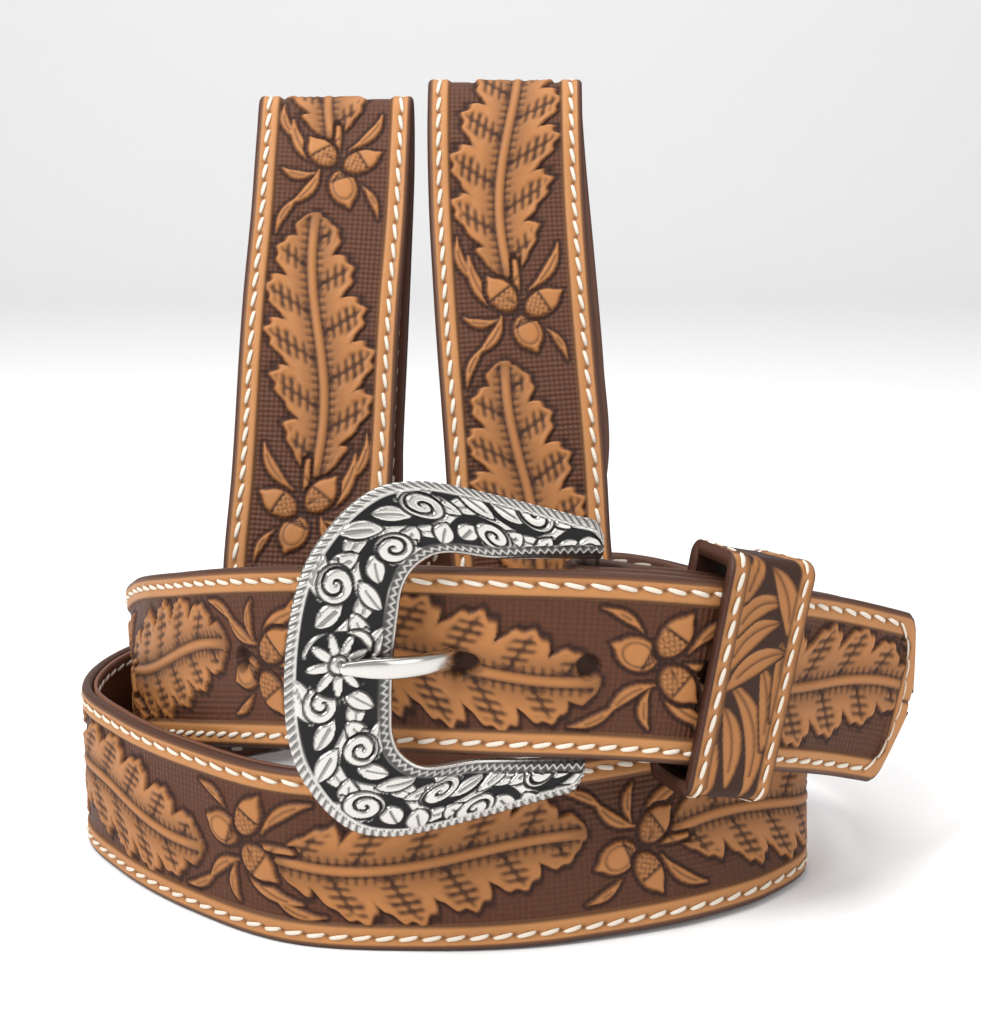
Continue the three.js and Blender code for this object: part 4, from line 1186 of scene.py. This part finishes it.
class BELT_OT_buckle(bpy.types.Operator):
    """Make the cast buckle frame with its scrolls, roped rim and hinge bar"""
    bl_idname = "belt.buckle"
    bl_label = "Buckle"

    def execute(self, context):
        look = context.scene.belt_buckle
        upper = np.array(BUCKLE_OUTLINE) * (-look.length, look.height / 2)
        outer = np.vstack([upper, upper[::-1] * (1, -1)])
        corner = np.array(OPENING_CORNER) * (look.length - look.bar_width, HALF_WIDTH + OPENING_PLAY)
        corner[0, 0] = upper[0, 0]
        inner = np.vstack([corner, corner[::-1] * (1, -1)])
        count = 620
        outer_line, outer_run = smooth_line(outer, count)
        inner_line, _ = smooth_line(inner, count)
        share = np.linspace(0, 1, BUCKLE_ROWS)
        lift, recess = buckle_face(inner_line, outer_line, outer_run, share[None, :])
        top = BUCKLE_STANDOFF + BUCKLE_THICKNESS - BUCKLE_SWELL - SCROLL_RELIEF
        origin, left, up, front = lean_frame(look.lean)

        def stand(shares, depth):
            spots = inner_line[:, None] * (1 - shares[:, None]) + outer_line[:, None] * shares[:, None]
            return origin + spots[..., :1] * left + spots[..., 1:] * up + depth * front

        back = stand(np.array([0.97, 0.5, 0.03]), BUCKLE_STANDOFF)
        rings = np.concatenate([stand(share, (top + lift)[..., None]), back], axis=1)
        masks = {"recess": np.hstack([recess, np.full(back.shape[:2], 0.25)])}
        piece = outward(skin("buckle_frame", rings, masks))
        material = shared("antique_silver", cast_finish, look)
        dress(piece, material)
        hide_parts("buckle")
        self.hinge_bar(origin, left, up, front, material)
        return {"FINISHED"}

    def hinge_bar(self, origin, left, up, front, material):
        """Makes the bar between the buckle's arms, thicker where it runs into them."""
        reach = HALF_WIDTH + OPENING_PLAY + 2.4
        steps = np.array([-1, -0.94, -0.9, 0, 0.9, 0.94, 1])[:, None, None] * reach
        radius = np.array([1.2, 1.15, 1.0, 1.0, 1.0, 1.15, 1.2])[:, None, None] * HINGE_RADIUS
        c, s = np.cos(ROUND_TURN)[:, None], np.sin(ROUND_TURN)[:, None]
        rings = origin + up * steps + (left * c + front * s) * radius
        masks = {"recess": np.full(rings.shape[:2], 0.15)}
        dress(outward(skin("hinge_bar", rings, masks)), material)


# The tongue's centre line: shares of the buckle's length from the hinge bar, and of the
# stack of one strap and the fold's leather
TONGUE_LINE = (
    (-0.03, 0.1), (-0.2, 0.12), (-0.33, 0.09), (-0.382, 0.25), (-0.464, 1.2), (-0.63, 2.21),
    (-0.72, 2.37), (-0.8, 2.53),
)
TONGUE_WIDTH = 4.2
TONGUE_THICKNESS = 2.6
TONGUE_POINTS = 90
TONGUE_TAPER = 0.42
RING_HALF_WALL = 0.75
RING_HALF_WIDTH = 2.0
SNAP_COLOR = (0.6, 0.58, 0.54)


def boxy_round(half_width, half_height, power):
    """One turn of a section between an oval and a box."""
    c, s = np.cos(ROUND_TURN)[None], np.sin(ROUND_TURN)[None]
    width = np.sign(c) * np.abs(c) ** power * half_width
    height = np.sign(s) * np.abs(s) ** power * half_height
    return width, height


class BELT_OT_tongue(bpy.types.Operator):
    """Make the polished tongue with its ring round the hinge bar, and dress the snaps"""
    bl_idname = "belt.tongue"
    bl_label = "Tongue and snaps"

    def execute(self, context):
        look = context.scene.belt_buckle
        silver = shared("polished_silver", polished_finish, "polished_silver", tuple(look.silver), 0.12)
        place, tangent, across, out = TIP_ROUTE.at(HINGE_PLACE)
        origin = place - out * HINGE_DEPTH

        def stand(along, depth, width):
            return origin + along[..., None] * tangent + depth[..., None] * out + width[..., None] * across

        shank = outward(skin("tongue_shank", stand(*self.shank(look.length)), {}))
        dress(shank, silver)
        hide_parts("tongue")
        ring = outward(skin("tongue_ring", stand(*self.ring()), {}, closed_ends=False))
        dress(ring, silver)
        plain = shared("plain_metal", polished_finish, "plain_metal", SNAP_COLOR, 0.25)
        for name in ("snap_upper", "snap_lower"):
            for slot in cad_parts[name].material_slots:
                slot.material = plain
        return {"FINISHED"}

    def shank(self, length):
        """The bent prong, tapered and rounded off at its end."""
        knots = np.array(TONGUE_LINE) * (-length, STACK_OFFSET + LEATHER)
        line, _ = smooth_line(knots, TONGUE_POINTS)
        step = unit(np.gradient(line, axis=0))
        share = np.linspace(0, 1, TONGUE_POINTS)
        taper = 1 - TONGUE_TAPER * ramp(0.8, 1.0, share) ** 2
        closing = np.sqrt(np.clip(1 - np.clip((share - 0.975) / 0.03, 0, 1) ** 2, 0.04, 1))
        size = (taper * closing)[:, None]
        wide, thick = boxy_round(TONGUE_WIDTH / 2, TONGUE_THICKNESS / 2, 0.6)
        along = line[:, :1] - step[:, 1:] * thick * size
        depth = line[:, 1:] + step[:, :1] * thick * size
        return along, depth, wide * size

    def ring(self):
        """The tongue's ring round the hinge bar."""
        wall, width = boxy_round(RING_HALF_WALL - 0.01, RING_HALF_WIDTH, 0.5)
        around = np.append(np.arange(48), 0)[:, None] / 48 * TAU
        reach = HINGE_RADIUS + FIT_GAP + RING_HALF_WALL + wall
        return reach * np.cos(around), reach * np.sin(around), width + 0 * around


# The floor that sweeps up behind, in metres
FLOOR_REACH = 1.6
FLOOR_HALF_WIDTH = 2.5
SWEEP_RISE = 1.2
SWEEP_RADIUS = 0.35
FLOOR_PALE = (0.93, 0.93, 0.93, 1)
SKY_STRENGTH = 0.5
# Studio lights: name, place, aim, power in watts and size
STUDIO_LIGHTS = (
    ("key", (-0.6, -0.6, 0.95), (0, 0, 0.08), 13, 0.5),
    ("fill", (0.8, -0.6, 0.45), (0, 0, 0.08), 3, 0.8),
    ("top", (0.0, 0.1, 1.1), (0, 0, 0.05), 7, 0.8),
)


class BELT_OT_stage(bpy.types.Operator):
    """Set the pale floor, the soft studio light and the camera"""
    bl_idname = "belt.stage"
    bl_label = "Stage"

    def execute(self, context):
        scene = context.scene
        self.floor(scene)
        for light in STUDIO_LIGHTS:
            self.lamp(scene, *light)
        world = bpy.data.worlds.new("studio")
        world.use_nodes = True
        sky = world.node_tree.nodes["Background"].inputs
        sky["Color"].default_value = (1, 1, 1, 1)
        sky["Strength"].default_value = SKY_STRENGTH
        scene.world = world
        scene.view_settings.view_transform = "Standard"
        self.camera(scene, scene.belt_stage)
        return {"FINISHED"}

    def floor(self, scene):
        turn = np.linspace(0, math.pi / 2, 9)
        start = FLOOR_REACH - SWEEP_RADIUS
        profile = [(-FLOOR_REACH, 0.0)]
        profile += [(start + SWEEP_RADIUS * math.sin(a), SWEEP_RADIUS * (1 - math.cos(a))) for a in turn]
        profile.append((FLOOR_REACH, SWEEP_RISE))
        points = [(x, y, z) for y, z in profile for x in (-FLOOR_HALF_WIDTH, FLOOR_HALF_WIDTH)]
        faces = [(2 * i, 2 * i + 1, 2 * i + 3, 2 * i + 2) for i in range(len(profile) - 1)]
        mesh = bpy.data.meshes.new("floor")
        mesh.from_pydata(points, [], faces)
        mesh.shade_smooth()
        mesh.materials.append(Finish("pale_floor").finish(FLOOR_PALE, 0.9))
        floor = bpy.data.objects.new("floor", mesh)
        scene.collection.objects.link(floor)

    def lamp(self, scene, name, spot, aim, power, size):
        light = bpy.data.lights.new(name, "AREA")
        light.energy = power
        light.size = size
        lamp = bpy.data.objects.new(name, light)
        lamp.location = spot
        x, y, z = np.array(aim) - np.array(spot)
        lamp.rotation_euler = (math.atan2(math.hypot(x, y), -z), 0, math.atan2(y, x) - math.pi / 2)
        scene.collection.objects.link(lamp)

    def camera(self, scene, settings):
        lens = bpy.data.cameras.new("camera")
        lens.lens = settings.lens
        lens.sensor_width = 36
        camera = bpy.data.objects.new("camera", lens)
        x, y, z = SHIFT * MM
        camera.location = (x, y - settings.distance, z + settings.eye_height)
        camera.rotation_euler = (math.pi / 2 - settings.pitch, 0, 0)
        scene.collection.objects.link(camera)
        scene.camera = camera


OPERATORS = (BELT_OT_stage, BELT_OT_strap, BELT_OT_lining, BELT_OT_stitches, BELT_OT_keeper,
             BELT_OT_buckle, BELT_OT_tongue)


class BELT_PT_panel(bpy.types.Panel):
    """The belt's pieces"""
    bl_idname = "BELT_PT_panel"
    bl_label = "Western belt"
    bl_space_type = "VIEW_3D"
    bl_region_type = "UI"
    bl_category = "Belt"

    def draw(self, context):
        for operator in OPERATORS:
            self.layout.operator(operator.bl_idname)
        for group in SETTINGS:
            settings = getattr(context.scene, group)
            for key in settings.bl_rna.properties.keys():
                if key not in ("rna_type", "name"):
                    self.layout.prop(settings, key)


SETTINGS = {
    "belt_strap": StrapSettings,
    "belt_leather": LeatherSettings,
    "belt_buckle": BuckleSettings,
    "belt_stage": StageSettings,
}


def register():
    for name, group in SETTINGS.items():
        bpy.utils.register_class(group)
        setattr(bpy.types.Scene, name, bpy.props.PointerProperty(type=group))
    for operator in OPERATORS:
        bpy.utils.register_class(operator)
    bpy.utils.register_class(BELT_PT_panel)


def unregister():
    bpy.utils.unregister_class(BELT_PT_panel)
    for operator in reversed(OPERATORS):
        bpy.utils.unregister_class(operator)
    for name, group in SETTINGS.items():
        delattr(bpy.types.Scene, name)
        bpy.utils.unregister_class(group)


def main():
    register()
    bpy.ops.belt.stage()
    bpy.ops.belt.strap()
    bpy.ops.belt.lining()
    bpy.ops.belt.stitches()
    bpy.ops.belt.keeper()
    bpy.ops.belt.buckle()
    bpy.ops.belt.tongue()
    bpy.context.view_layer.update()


if __name__ == "__main__":
    main()
